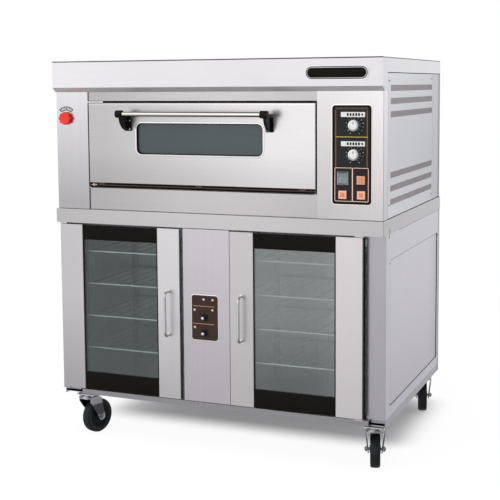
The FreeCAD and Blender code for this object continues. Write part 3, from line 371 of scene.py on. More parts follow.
NODE_LOOKS = {
    "steel_x": ["oven_door_inner_panel"],
    "cover": ["oven_top_cover"],
    "canopy": ["oven_canopy"],
    "door": ["oven_door_skin"],
    "front_frame": ["oven_front_frame"],
    "left_column": ["left_front_column"],
    "control_column": ["control_column"],
    "frame": ["prover_frame"],
    "collar": ["prover_collar"],
    "side_plate": ["prover_side_plates"],
    "left_leaf": ["left_door_stiles"],
    "right_leaf": ["right_door_stiles"],
    "centre_panel": ["centre_panel"],
    "steel_z": ["exhaust_duct"],
    "rear": ["oven_rear_casing", "prover_rear_casing"],
    "oven_side": ["oven_side_panel_left", "oven_side_panel_right"],
    "liner": ["prover_liner", "water_pan"],
    "baked_liner": ["chamber_liner"],
    "bar": ["door_handle_bar"],
    "chrome": ["left_door_pull", "right_door_pull"],
    "rack": ["proofing_racks"],
    "zinc": ["castor_plates", "prover_hinge_brackets", "damper_flap"],
    "fork": ["castor_fork_front_left", "castor_fork_front_right",
             "castor_fork_rear_left", "castor_fork_rear_right"],
    "shaft": ["door_hinge_shaft"],
    "bracket": ["door_handle_brackets"],
    "black": ["power_inlet", "prover_knob_humidity", "prover_knob_heat"],
    "gear": ["control_gear"],
    "red": ["damper_knob"],
    "silver": ["nameplate"],
    "bezel": ["control_bezel"],
    "brown": ["prover_control_plate"],
    "button_rim": ["push_button_heat", "push_button_lamp", "push_button_steam"],
    "rocker": ["rocker_switch"],
    "seal": ["door_gasket"],
    "oven_glass": ["oven_door_outer_glass", "oven_door_inner_glass"],
    "left_glass": ["left_door_glass"],
    "right_glass": ["right_door_glass"],
    "wool": ["insulation_jacket"],
    "hearth": ["hearth_plate"],
    "sheath": ["heating_elements"],
}


def dress_nodes():
    for look, names in NODE_LOOKS.items():
        for name in names:
            node = NODES[name]
            node.data.materials.clear()
            node.data.materials.append(MATERIALS[look])


# ---- shapes -------------------------------------------------------------------------------------------------------
def piece(name, bm, body, looks):
    """Turns a bmesh into an object that rides on a body; looks is one material name or a list for its faces."""
    mesh = bpy.data.meshes.new(name)
    bmesh.ops.recalc_face_normals(bm, faces=bm.faces)
    bm.to_mesh(mesh)
    bm.free()
    for look in [looks] if isinstance(looks, str) else looks:
        mesh.materials.append(MATERIALS[look])
    mesh.shade_smooth()
    mesh.set_sharp_from_angle(angle=SMOOTH_BELOW)
    made = bpy.data.objects.new(name, mesh)
    bpy.context.scene.collection.objects.link(made)
    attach(made, body)
    return made


def add_block(bm, low, high, bevel):
    """Box between two corners with its edges rounded, in the piece's first look."""
    low, high = Vector(low), Vector(high)
    place = Matrix.Translation((low + high) / 2) @ Matrix.Diagonal((*(high - low), 1.0))
    grown = bmesh.ops.create_cube(bm, size=1.0, matrix=place)
    edges = {edge for vert in grown["verts"] for edge in vert.link_edges}
    bmesh.ops.bevel(bm, geom=list(edges), offset=bevel, segments=3, profile=0.6, affect="EDGES",
                    clamp_overlap=True, material=-1)


def in_mm(profile):
    return [(r * MM, h * MM) for r, h in profile]


def add_turned(bm, profile, centre, axis, look, segments, wobble=None):
    """Spins an outline of (radius, height) pairs about an axis; wobble(angle, r) can change a ring's radius."""
    turn = Vector((0, 0, 1)).rotation_difference(Vector(axis)).to_matrix().to_4x4()
    frame_at = Matrix.Translation(Vector(centre)) @ turn
    rings = []
    for r, h in profile:
        if r < 1e-7:
            rings.append([bm.verts.new(frame_at @ Vector((0, 0, h)))])
            continue
        ring = []
        for i in range(segments):
            a = 2 * math.pi * i / segments
            reach = wobble(a, r) if wobble else r
            ring.append(bm.verts.new(frame_at @ Vector((reach * math.cos(a), reach * math.sin(a), h))))
        rings.append(ring)
    for one, two in zip(rings, rings[1:]):
        for i in range(segments):
            j = (i + 1) % segments
            corners = [one[i % len(one)], one[j % len(one)], two[j % len(two)], two[i % len(two)]]
            corners = list(dict.fromkeys(corners))
            if len(corners) > 2:
                bm.faces.new(corners).material_index = look
    for ring in (rings[0], rings[-1]):
        if len(ring) > 2:
            bm.faces.new(ring).material_index = look


def stadium(x0, x1, z0, z1, r, steps=8):
    """Points round an upright rectangle with rounded corners."""
    points = []
    corners = ((x1 - r, z1 - r, 0), (x0 + r, z1 - r, 90), (x0 + r, z0 + r, 180), (x1 - r, z0 + r, 270))
    for cx, cz, start in corners:
        for i in range(steps + 1):
            a = math.radians(start + 90 * i / steps)
            points.append((cx + r * math.cos(a), cz + r * math.sin(a)))
    return points


def add_sheet(bm, outline, y0, y1, look=0, hole=None, bevel=0.0):
    """Extrudes an (x, z) outline from y0 to y1; with a hole of as many points it becomes a ring."""
    def ring(points, y):
        return [bm.verts.new((x, y, z)) for x, z in points]
    faces = []
    front, back = ring(outline, y0), ring(outline, y1)
    count = len(outline)
    for i in range(count):
        j = (i + 1) % count
        faces.append(bm.faces.new((front[i], front[j], back[j], back[i])))
    if hole:
        hole_front, hole_back = ring(hole, y0), ring(hole, y1)
        for i in range(count):
            j = (i + 1) % count
            faces.append(bm.faces.new((hole_front[j], hole_front[i], hole_back[i], hole_back[j])))
            faces.append(bm.faces.new((front[j], front[i], hole_front[i], hole_front[j])))
            faces.append(bm.faces.new((back[i], back[j], hole_back[j], hole_back[i])))
    else:
        faces.append(bm.faces.new(front))
        faces.append(bm.faces.new(back))
    for face in faces:
        face.material_index = look
    if bevel > 0:
        edges = [e for e in {e for v in front for e in v.link_edges} if all(v in front for v in e.verts)]
        bmesh.ops.bevel(bm, geom=edges, offset=bevel, segments=3, profile=0.5, affect="EDGES",
                        clamp_overlap=True)


def add_tick(bm, centre, angle, inner, outer, half, y0, y1, look=0):
    """Radial mark on an upright face, at an angle in degrees; inner, outer and half its width are in mm."""
    a = math.radians(angle)
    ray = Vector((math.cos(a), 0, math.sin(a)))
    side = Vector((-math.sin(a), 0, math.cos(a))) * half * MM
    base = Vector((centre.x, 0, centre.z))
    near, far = base + ray * (inner * MM), base + ray * (outer * MM)
    add_sheet(bm, [(c.x, c.z) for c in (near - side, far - side, far + side, near + side)], y0, y1, look)


def add_screw(bm, at, axis, r, height=1.8 * MM):
    """Pan-head screw in the piece's first look, with a cross recess in its second."""
    at, axis = Vector(at), Vector(axis).normalized()
    head = [(0, 0), (r, 0), (r, height * 0.35), (r * 0.9, height * 0.75), (r * 0.6, height), (0, height)]
    add_turned(bm, head, at, axis, 0, 24)
    side = axis.orthogonal().normalized()
    other = axis.cross(side)
    for along, across in ((side, other), (other, side)):
        low = at + axis * (height - 0.1 * MM)
        verts = [bm.verts.new(low + along * a * r * 0.55 + across * b * r * 0.12 + axis * c * 0.25 * MM)
                 for c in (0, 1) for a, b in ((-1, -1), (1, -1), (1, 1), (-1, 1))]
        quads = [(0, 1, 2, 3), (4, 5, 6, 7), (0, 1, 5, 4), (1, 2, 6, 5), (2, 3, 7, 6), (3, 0, 4, 7)]
        for quad in quads:
            bm.faces.new([verts[i] for i in quad]).material_index = 1


def joint_at(name):
    return Vector(JOINTS[name]["pos_m"])


# ---- oven trim ----------------------------------------------------------------------------------------------------
def badge():
    """Dark enamel field and a thin inner line set in the blank plate."""
    low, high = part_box("nameplate")
    face = low.y + 1.0 * MM
    inset = 3.4 * MM
    r = (high.z - low.z) / 2
    bm = bmesh.new()
    add_sheet(bm, stadium(low.x + inset, high.x - inset, low.z + inset, high.z - inset, r - inset - 0.1 * MM),
              face - 0.6 * MM, face, 0, bevel=0.3 * MM)
    ring = inset + 3.0 * MM
    width = 1.3 * MM
    add_sheet(bm, stadium(low.x + ring, high.x - ring, low.z + ring, high.z - ring, r - ring - 0.1 * MM),
              face - 0.9 * MM, face - 0.5 * MM, 1,
              stadium(low.x + ring + width, high.x - ring - width, low.z + ring + width, high.z - ring - width,
                      r - ring - width - 0.1 * MM))
    piece("badge_field", bm, "casing", ["enamel", "silver"])


def damper_scale():
    """Arc of tick marks printed over the damper knob, from closed to open."""
    centre = joint_at("damper_turn")
    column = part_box("left_front_column")[0]
    bm = bmesh.new()
    y0, y1 = column.y - 0.35 * MM, column.y
    ticks = 9
    for i in range(ticks):
        add_tick(bm, centre, 50 + 80 * i / (ticks - 1), 33 if i % 4 == 0 else 36, 44, 1.9, y0, y1)

    def arc(r, angles):
        return [(centre.x + r * MM * math.cos(math.radians(a)), centre.z + r * MM * math.sin(math.radians(a)))
                for a in angles]
    add_sheet(bm, arc(32, range(48, 133, 6)) + arc(28.5, range(132, 47, -6)), y0, y1)
    piece("damper_scale", bm, "casing", "scale_ink")


def door_catch():
    """Bright tongue over the door's top corner, clear of its swing; its whiter rim steel is a painted highlight."""
    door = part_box("oven_door_skin")
    bm = bmesh.new()
    z = door[1].z + 1.2 * MM
    x = door[0].x
    add_block(bm, (x - 3 * MM, door[0].y - 3.5 * MM, z), (x + 62 * MM, door[0].y + 9 * MM, z + 4.6 * MM),
              1.4 * MM)
    piece("door_catch", bm, "casing", "rim")


def window_trim():
    """Bright rolled edge round the opening, whose whiter rim steel is a painted highlight, the dark line of its
    fold, and a thin dark seal on the glass.
    """
    low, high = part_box("oven_door_outer_glass")
    over, seal = 12 * MM, 2.4 * MM
    x0, x1, z0, z1 = low.x + over, high.x - over, low.z + over, high.z - over
    corner = 20 * MM
    opening = stadium(x0, x1, z0, z1, corner)
    bm = bmesh.new()
    add_sheet(bm, opening, low.y - 1.2 * MM, low.y, 0,
              stadium(x0 + seal, x1 - seal, z0 + seal, z1 - seal, corner - seal))
    rolled = 5.0 * MM
    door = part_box("oven_door_skin")[0]
    add_sheet(bm, stadium(x0 - rolled, x1 + rolled, z0 - rolled, z1 + rolled, corner + rolled),
              door.y - 0.7 * MM, door.y + 0.2 * MM, 1, opening, 0.5 * MM)
    line = 3.0 * MM
    add_sheet(bm, opening, door.y + 0.3 * MM, door.y + 2 * MM, 0,
              stadium(x0 + line, x1 - line, z0 + line, z1 - line, corner - line))
    piece("window_trim", bm, "oven_door", ["seal", "rim"])


def front_shade_strips():
    """Painted shade: dark strips set in the gaps on the casing, where there is only shade: round the oven door,
    beside the right leaf, along the canopy's seams.
    """
    low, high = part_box("oven_door_skin")
    frame_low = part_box("oven_front_frame")[0]
    bm = bmesh.new()
    top = high.z + 1.0 * MM
    add_block(bm, (low.x, low.y + 1.4 * MM, top), (high.x, high.y, top + 6.4 * MM), 0.5 * MM)
    back = high.y + 0.3 * MM
    foot = 925.5 * MM
    add_block(bm, (low.x + 4 * MM, back, foot), (high.x - 4 * MM, back + 1.6 * MM, low.z - 1 * MM), 0.3 * MM)
    for x in (frame_low.x + 1 * MM, high.x + 0.3 * MM):
        add_block(bm, (x, back, foot), (x + 3 * MM, back + 1.6 * MM, top), 0.3 * MM)
    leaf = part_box("right_door_stiles")
    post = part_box("prover_frame")[0].y
    add_block(bm, (leaf[1].x + 1 * MM, post - 1.4 * MM, leaf[0].z),
              (leaf[1].x + 7.5 * MM, post - 0.2 * MM, leaf[1].z), 0.3 * MM)
    canopy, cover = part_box("oven_canopy"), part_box("oven_top_cover")
    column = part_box("control_column")[1].x
    for s in (LEFT, RIGHT):
        x0, x1 = sorted((s * column, s * (column + 0.7 * MM)))
        add_block(bm, (x0, canopy[1].y, canopy[0].z), (x1, canopy[1].y + 1.4 * MM, cover[0].z), 0.2 * MM)
        add_block(bm, (x0, canopy[1].y, cover[0].z - 2.6 * MM), (x1, cover[1].y - 4 * MM, cover[0].z), 0.2 * MM)
    piece("front_shade_strips", bm, "casing", "seal")


def vent_boards():
    """Board behind the slots of each side panel."""
    bm = bmesh.new()
    for s in (LEFT, RIGHT):
        low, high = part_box("oven_side_panel_right" if s == RIGHT else "oven_side_panel_left")
        face = high.x if s == RIGHT else low.x
        near, far = sorted((face - s * 1.8 * MM, face - s * 5 * MM))
        add_block(bm, (near, low.y + 25 * MM, low.z + 25 * MM),
                  (far, high.y - 2 * MM, high.z - 25 * MM), 0.4 * MM)
    piece("vent_boards", bm, "casing", "vent_board")


def plate_beads_and_shadow_strips():
    """Dark bead round the inset plate of each side, in the corner of its recess, and a dark strip painted as the
    shadow under the top band's edge.
    """
    low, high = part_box("prover_frame")
    bm = bmesh.new()
    y0, y1, z0, z1 = low.y + 80 * MM, high.y - 36 * MM, 212 * MM, 708 * MM
    wide = 1.7 * MM
    for s in (LEFT, RIGHT):
        x0, x1 = sorted((s * (high.x - 1.9 * MM), s * (high.x - 0.7 * MM)))
        add_block(bm, (x0, y0, z1 - wide), (x1, y1, z1), 0.3 * MM)
        add_block(bm, (x0, y0, z0), (x1, y1, z0 + wide * 0.5), 0.3 * MM)
        add_block(bm, (x0, y0, z0), (x1, y0 + wide * 2, z1), 0.3 * MM)
        add_block(bm, (x0, y1 - wide * 2, z0), (x1, y1, z1), 0.3 * MM)
        # Painted shadow: a dark strip under the collar's lower edge.
        x0, x1 = sorted((s * high.x, s * (high.x + 0.8 * MM)))
        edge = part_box("prover_collar")[0].z
        add_block(bm, (x0, low.y + 190 * MM, edge - 1.5 * MM), (x1, high.y - 4 * MM, edge), 0.3 * MM)
    piece("plate_beads_and_shadow_strips", bm, "casing", "seal")


def bracket_screws():
    """Two bright screws in each handle foot."""
    low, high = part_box("door_handle_brackets")
    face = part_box("oven_door_skin")[0].y - 5 * MM
    bm = bmesh.new()
    for x in (low.x + 23 * MM, high.x - 23 * MM):
        for z in (low.z + 7 * MM, low.z + 37 * MM):
            add_screw(bm, (x, face, z), FORWARD, 4.2 * MM)
    piece("bracket_screws", bm, "oven_door", ["chrome", "black"])


# ---- control panel ------------------------------------------------------------------------------------------------
PANEL_LOOKS = ["bezel", "gold", "pale", "dial_field", "white", "enamel", "top_field", "bronze"]
ink = PANEL_LOOKS.index


def control_prints():
    """Raised rim, printed fields, lines and label strips of the control panel."""
    low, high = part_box("control_bezel")
    y = low.y
    print_y = y - 0.25 * MM
    top_dial, low_dial = joint_at("dial_top_turn"), joint_at("dial_bottom_turn")
    split = 1019 * MM
    bm = bmesh.new()
    rim = 5.0 * MM
    add_sheet(bm, stadium(low.x, high.x, low.z, high.z, 10 * MM), y - 1.6 * MM, y + 0.2 * MM, ink("enamel"),
              stadium(low.x + rim, high.x - rim, low.z + rim, high.z - rim, 6 * MM), 0.7 * MM)
    dial_x0, dial_x1 = low.x + 20 * MM, high.x - 16 * MM
    dial_top, dial_split = high.z - 16 * MM, (top_dial.z + low_dial.z) / 2 + 10.5 * MM
    for z0, z1 in ((split + 4 * MM, dial_split - 2 * MM), (dial_split + 2 * MM, dial_top)):
        add_sheet(bm, stadium(dial_x0, dial_x1, z0, z1, 1 * MM, 2), print_y, y, ink("dial_field"))
    line = 1.5 * MM
    left_line, right_line = dial_x0 - 9 * MM, dial_x1 + 2 * MM
    for x in (left_line, right_line):
        add_sheet(bm, stadium(x, x + 1.3 * line, split + 3 * MM, dial_top, 0.3 * MM, 1),
                  print_y - 0.1 * MM, y, ink("bronze"))
    add_sheet(bm, stadium(left_line, right_line + 2 * line, dial_split - line, dial_split + line / 2,
                          0.3 * MM, 1), print_y - 0.15 * MM, y, ink("gold"))
    add_sheet(bm, stadium(left_line, right_line + 2 * line, dial_top + 3 * MM, high.z - 7 * MM, 1 * MM, 2),
              print_y, y, ink("top_field"))
    box_x0, box_x1, box_z0 = low.x + 8 * MM, high.x - 8 * MM, low.z + 9 * MM
    add_sheet(bm, stadium(box_x0, box_x1, box_z0, split, 4 * MM), print_y - 0.1 * MM, y, ink("pale"),
              stadium(box_x0 + 1.8 * MM, box_x1 - 1.8 * MM, box_z0 + 1.8 * MM, split - 1.8 * MM, 3 * MM))
    middle = (box_x0 + box_x1) / 2 + 3 * MM
    add_sheet(bm, stadium(middle - 1.6 * MM, middle + 1.6 * MM, box_z0 + 1 * MM, split - 1 * MM, 0.4 * MM, 1),
              print_y - 0.1 * MM, y, ink("pale"))
    for centre in (top_dial, low_dial):
        add_dial_print(bm, centre, print_y, y)
    piece("control_prints", bm, "casing", PANEL_LOOKS)


def plate_trims():
    """Thin bright edging round the control panel and round the proving cabinet's control plate, in whiter rim steel
    that is a painted highlight.
    """
    bm = bmesh.new()
    for name, behind, wide, corner in (("control_bezel", "control_column", 4.5 * MM, 10 * MM),
                                       ("prover_control_plate", "centre_panel", 3.0 * MM, 8 * MM)):
        low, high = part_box(name)
        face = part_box(behind)[0].y
        add_sheet(bm, stadium(low.x - wide, high.x + wide, low.z - wide, high.z + wide, corner + wide),
                  face - 0.6 * MM, face + 0.1 * MM, 0, stadium(low.x, high.x, low.z, high.z, corner), 0.3 * MM)
    piece("plate_trims", bm, "casing", "rim")


def add_dial_print(bm, centre, y0, y1):
    """Label strip over a dial, with plain dashes, and tick marks round it."""
    strip_z = centre.z + 35.5 * MM
    x0, x1 = centre.x - 47 * MM, centre.x + 34 * MM
    add_sheet(bm, stadium(x0, x1, strip_z - 8 * MM, strip_z + 8 * MM, 1 * MM, 2),
              y0 - 0.15 * MM, y1, ink("white"))
    dashes = 5
    for i in range(dashes):
        x = x0 + 20 * MM + i * 9.5 * MM
        add_sheet(bm, stadium(x, x + 6.2 * MM, strip_z - 4.5 * MM, strip_z + 4.5 * MM, 1.4 * MM, 2),
                  y0 - 0.3 * MM, y1, ink("enamel"))
    add_sheet(bm, stadium(x1 - 12 * MM, x1 - 6 * MM, strip_z - 3.5 * MM, strip_z + 3.5 * MM, 2.9 * MM, 6),
              y0 - 0.3 * MM, y1, ink("enamel"))
    ticks = 13
    for i in range(ticks):
        add_tick(bm, centre, -60 + 300 * i / (ticks - 1), 27, 31.5 if i % 3 == 0 else 29.5, 0.55,
                 y0 - 0.1 * MM, y1, ink("white"))


def temperature_dial(name, node, joint, body):
    """Dark dial skirt with white marks, a fluted silver grip with a domed cap, and a pointer line."""
    centre = joint_at(joint)
    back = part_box(node)[0].y + 26.4 * MM
    flutes = 36

    def fluted(angle, r):
        return r + 0.35 * MM * math.cos(flutes * angle) if 12 * MM < r < 19.4 * MM else r
    bm = bmesh.new()
    skirt = [(0, 0), (22.5, 0), (23, 0.5), (23, 2.0), (22.3, 2.8), (20.5, 4.2), (0, 4.2)]
    add_turned(bm, in_mm(skirt), (centre.x, back, centre.z), FORWARD, 0, 72)
    grip = [(0, 4.0), (19.2, 4.0), (19.2, 5.0), (18.6, 17.5), (17.6, 19.4), (14.8, 20.6), (11.6, 21.0),
            (11.2, 20.4), (9.5, 20.2), (5, 20.6), (0, 20.8)]
    add_turned(bm, in_mm(grip), (centre.x, back, centre.z), FORWARD, 1, 144, fluted)
    marks = 12
    for i in range(marks):
        add_tick(bm, centre, 90 + 300 / marks * (i - marks / 2), 20.2, 22.4, 0.4,
                 back - 4.3 * MM, back - 2.0 * MM, 2)
    add_block(bm, (centre.x - 0.9 * MM, back - 21.5 * MM, centre.z + 3 * MM),
              (centre.x + 0.9 * MM, back - 20.0 * MM, centre.z + 13.5 * MM), 0.2 * MM)
    spindle = [(0, -28), (3, -28), (3, 1), (0, 1)]
    add_turned(bm, in_mm(spindle), (centre.x, back, centre.z), FORWARD, 3, 24)
    made = piece(name, bm, body, ["black", "silver", "white", "zinc"])
    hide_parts(node)


def button_lenses():
    """Square lens set in the face of each push button."""
    for name, look in (("heat", "amber"), ("lamp", "coral"), ("steam", "coral")):
        low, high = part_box("push_button_" + name)
        rim = (2.6 if name == "heat" else 6.0) * MM
        bm = bmesh.new()
        add_block(bm, (low.x + rim, low.y - 0.8 * MM, low.z + rim),
                  (high.x - rim, low.y + 1.5 * MM, high.z - rim), 0.7 * MM)
        piece("button_lens_" + name, bm, "button_" + name, look)


def rocker_marks():
    """Grip ribs on the rocker's two faces, and the frame round it."""
    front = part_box("rocker_switch")[0].y
    tilt = joint_at("rocker_tilt")
    bm = bmesh.new()
    x0, x1 = tilt.x - 9 * MM, tilt.x + 9 * MM
    for side in (-1, 1):
        for i in range(3):
            z = tilt.z + side * (7 + 3 * i) * MM
            y = front + (2.5 - 2.5 * abs(z - tilt.z) / (17 * MM)) * MM
            add_block(bm, (x0, y - 0.5 * MM, z - 0.5 * MM), (x1, y + 1.0 * MM, z + 0.5 * MM), 0.3 * MM)
    piece("rocker_ribs", bm, "rocker", "rocker")
    x, z = tilt.x, tilt.z
    bm = bmesh.new()
    add_sheet(bm, stadium(x - 19 * MM, x + 19 * MM, z - 21.5 * MM, z + 21.5 * MM, 2 * MM, 4),
              tilt.y - 6.3 * MM, tilt.y - 5.5 * MM, 0,
              stadium(x - 14.8 * MM, x + 14.8 * MM, z - 19.7 * MM, z + 19.7 * MM, 1 * MM, 4))
    piece("rocker_surround", bm, "casing", "rocker")


# ---- proving cabinet trim -----------------------------------------------------------------------------------------
def door_bands(side):
    """Black enamelled bands over the top and bottom of a proving door's glass, and the seals down its edges."""
    low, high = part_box(side + "_door_glass")
    top, bottom, edge = 53 * MM, 64 * MM, 4 * MM
    y0, y1 = low.y - 0.6 * MM, high.y + 0.6 * MM
    bm = bmesh.new()
    for z0, z1 in ((high.z - top, high.z), (low.z, low.z + bottom)):
        add_block(bm, (low.x, y0, z0), (high.x, low.y, z1), 0.2 * MM)
        add_block(bm, (low.x, high.y, z0), (high.x, y1, z1), 0.2 * MM)
    piece(side + "_door_bands", bm, side + "_door", "enamel")
    bm = bmesh.new()
    for x0, x1 in ((low.x, low.x + edge), (high.x - edge, high.x)):
        add_block(bm, (x0, y0 - 1.0 * MM, low.z), (x1, low.y, high.z), 0.6 * MM)
        add_block(bm, (x0, high.y, low.z), (x1, y1 + 1.0 * MM, high.z), 0.6 * MM)
    piece(side + "_door_seals", bm, side + "_door", "seal")


def shelf_rims():
    """Bright rolled rim along the front of every proving shelf; its pale paint is a painted highlight."""
    low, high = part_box("proofing_racks")
    bm = bmesh.new()
    left_bay_end, right_bay_start = -140 * MM, 87 * MM
    shelf_heights = (325, 445, 565, 685)
    for x0, x1 in ((low.x + 4 * MM, left_bay_end), (right_bay_start, high.x - 4 * MM)):
        for z in shelf_heights:
            add_block(bm, (x0, low.y - 1 * MM, (z - 3) * MM), (x1, low.y + 3 * MM, (z + 2.5) * MM), 1.4 * MM)
    piece("shelf_rims", bm, "casing", "wire_rim")


def prover_prints():
    """Lines and lamps of the proving cabinet's control plate, and the caps of its two knobs."""
    low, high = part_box("prover_control_plate")
    y = low.y
    bm = bmesh.new()
    for z in (522, 460):
        add_block(bm, (low.x + 6 * MM, y - 0.3 * MM, (z - 1) * MM),
                  (high.x - 12 * MM, y + 0.2 * MM, (z + 1) * MM), 0.1 * MM)
    lamps = [(-33.6, 546), (0.7, 546), (-68.3, 508), (-0.5, 510), (-67.5, 446)]
    for x, z in lamps:
        dome = [(0, 0), (3.4, 0), (3.4, 0.8), (2.6, 1.9), (1.4, 2.6), (0, 2.9)]
        add_turned(bm, in_mm(dome), (x * MM, y, z * MM), FORWARD, 1, 20)
        ring = [(4.2, 0), (4.2, 0.7), (3.3, 0.9), (3.3, 0)]
        add_turned(bm, in_mm(ring), (x * MM, y, z * MM), FORWARD, 2, 20)
    piece("prover_prints", bm, "casing", ["copper", "button_rim", "silver"])
    for name in ("humidity", "heat"):
        centre = joint_at(name + "_dial_turn")
        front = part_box("prover_knob_" + name)[0].y
        bm = bmesh.new()
        cap = [(0, 0), (5.2, 0), (5.2, 0.5), (4.2, 1.0), (0, 1.1)]
        add_turned(bm, in_mm(cap), (centre.x, front + 0.2 * MM, centre.z), FORWARD, 0, 32)
        piece("prover_knob_cap_" + name, bm, name + "_dial", "silver")


# ---- castors ------------------------------------------------------------------------------------------------------
def castor_wheel(place):
    """Solid rubber tyre with rounded shoulders on a dished centre, hub caps and a moulding ring."""
    joint = JOINTS["roll_" + place]
    centre, axis = Vector(joint["pos_m"]), Vector(joint["axis"])
    tyre = [(44, -15.0), (47, -16.6), (56, -17.0), (59.5, -15.4), (61.6, -12.2), (62.4, -8.0), (62.5, 0)]
    tyre = tyre + [(r, -h) for r, h in reversed(tyre[:-1])]
    bm = bmesh.new()
    inner = [(43.0, 15.0), (43.0, -15.0), (44, -15.0)]
    add_turned(bm, in_mm(tyre + inner), centre, axis, 0, 96)
    centre_part = [(5.05, -19.0), (10.5, -19.0), (13.2, -18.0), (14.5, -14.0), (17, -10.5), (36, -8.5),
                   (40, -11.5), (43.4, -14.0)]
    centre_part = centre_part + [(r, -h) for r, h in reversed(centre_part)] + [(5.05, -19.0)]
    add_turned(bm, in_mm(centre_part), centre, axis, 1, 96)
    made = piece("castor_wheel_body_" + place, bm, "wheel_" + place, ["tyre", "hub"])
    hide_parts("castor_wheel_" + place)


# ---- screws and small fasteners on the casing ---------------------------------------------------------------------
def casing_screws():
    """Screws at the corners of the side panels and of the inset plates, and in rows on the back."""
    bm = bmesh.new()
    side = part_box("oven_side_panel_right")[1].x
    for s in (LEFT, RIGHT):
        for y, z in ((68, 892), (68, 1300), (690, 872), (690, 1308)):
            add_screw(bm, (s * side, (y - COLUMN_FACE) * MM, z * MM), (s, 0, 0), 3.2 * MM)
        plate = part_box("prover_frame")[1].x
        for y, z in ((76, 222), (76, 698), (807, 222), (807, 698)):
            add_screw(bm, (s * plate, (y - COLUMN_FACE) * MM, z * MM), (s, 0, 0), 3.6 * MM, 1.2 * MM)
    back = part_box("oven_rear_casing")[1].y
    for z in (860, 1090, 1315):
        for x in (-590, -300, 0, 300, 590):
            add_screw(bm, (x * MM, back, z * MM), (0, 1, 0), 3.6 * MM)
    for z in (175, 480, 785):
        for x in (-595, -300, 0, 300, 595):
            add_screw(bm, (x * MM, back, z * MM), (0, 1, 0), 3.6 * MM)
    piece("casing_screws", bm, "casing", ["zinc", "black"])


# ---- studio -------------------------------------------------------------------------------------------------------
def floor():
    """Pale disc that fades out at its rim, so that it has no horizon line; under a box round the object the glow
    that keeps the rest white is taken away, so only the lamp-lit paint shows there: a shadow that is partly painted.
    """
    s = Shading("studio_floor")
    away = s.node("VectorMath", {0: s.place}, operation="LENGTH").outputs["Value"]
    fade = s.node("MapRange", {"Value": away, "From Min": 2.2, "From Max": 4.6},
                  interpolation_type="SMOOTHSTEP")
    paint = s.node("BsdfDiffuse", {"Color": s.colours(s.noise(3.0), (0.94, 0.94, 0.94), (0.96, 0.96, 0.96))})
    glow = s.node("Emission", {"Color": (1.0, 1.0, 1.0), "Strength": 1.03})
    # Partly painted shadow: a soft-edged box under the object where the floor loses its glow.
    painted_shadow_middle, painted_shadow_half = (0.0, 0.22, 0.0), (0.5, 0.22, 0.0)
    moved = s.node("VectorMath", {0: s.place, 1: painted_shadow_middle}, operation="SUBTRACT").outputs["Vector"]
    folded = s.node("VectorMath", {0: moved}, operation="ABSOLUTE").outputs["Vector"]
    beyond = s.node("VectorMath", {0: folded, 1: painted_shadow_half}, operation="SUBTRACT").outputs["Vector"]
    beyond = s.node("VectorMath", {0: beyond, 1: (0.0, 0.0, 0.0)}, operation="MAXIMUM").outputs["Vector"]
    apart = s.node("VectorMath", {0: beyond}, operation="LENGTH").outputs["Value"]
    share = s.node("MapRange", {"Value": apart, "From Max": 0.18, "To Min": 0.05, "To Max": 0.9},
                   interpolation_type="SMOOTHSTEP").outputs[0]
    lit = s.node("MixShader", {"Fac": share, 1: paint.outputs[0], 2: glow.outputs[0]})
    nothing = s.node("BsdfTransparent")
    mirrored = s.node("LightPath").outputs["Is Glossy Ray"]
    hidden = s.node("Math", {0: fade.outputs[0], 1: mirrored}, operation="MAXIMUM")
    whole = s.node("MixShader", {"Fac": hidden.outputs[0], 1: lit.outputs[0], 2: nothing.outputs[0]})
    s.tree.links.new(whole.outputs[0], s.output.inputs["Surface"])
    bm = bmesh.new()
    bmesh.ops.create_circle(bm, cap_ends=True, segments=96, radius=4.7)
    mesh = bpy.data.meshes.new("studio_floor")
    bm.to_mesh(mesh)
    bm.free()
    mesh.materials.append(s.material)
    made = bpy.data.objects.new("studio_floor", mesh)
    bpy.context.scene.collection.objects.link(made)


def area_light(name, at, towards, size, power):
    """White panel of light that doesn't show in reflections."""
    data = bpy.data.lights.new(name, "AREA")
    data.shape = "RECTANGLE"
    data.size, data.size_y = size
    data.energy = power
    made = bpy.data.objects.new(name, data)
    made.location = at
    made.visible_glossy = False
    made.rotation_euler = (Vector(towards) - Vector(at)).to_track_quat("-Z", "Y").to_euler()
    bpy.context.scene.collection.objects.link(made)


def ramp(tree, value, stops):
    """Colour ramp of (position, grey or colour) stops."""
    made = tree.nodes.new("ShaderNodeValToRGB")
    elements = made.color_ramp.elements
    while len(elements) < len(stops):
        elements.new(1.0)
    for element, (position, colour) in zip(elements, stops):
        element.position = position
        element.color = (*colour, 1) if hasattr(colour, "__len__") else (colour, colour, colour, 1)
    tree.links.new(value, made.inputs["Fac"])
    return made.outputs["Color"]


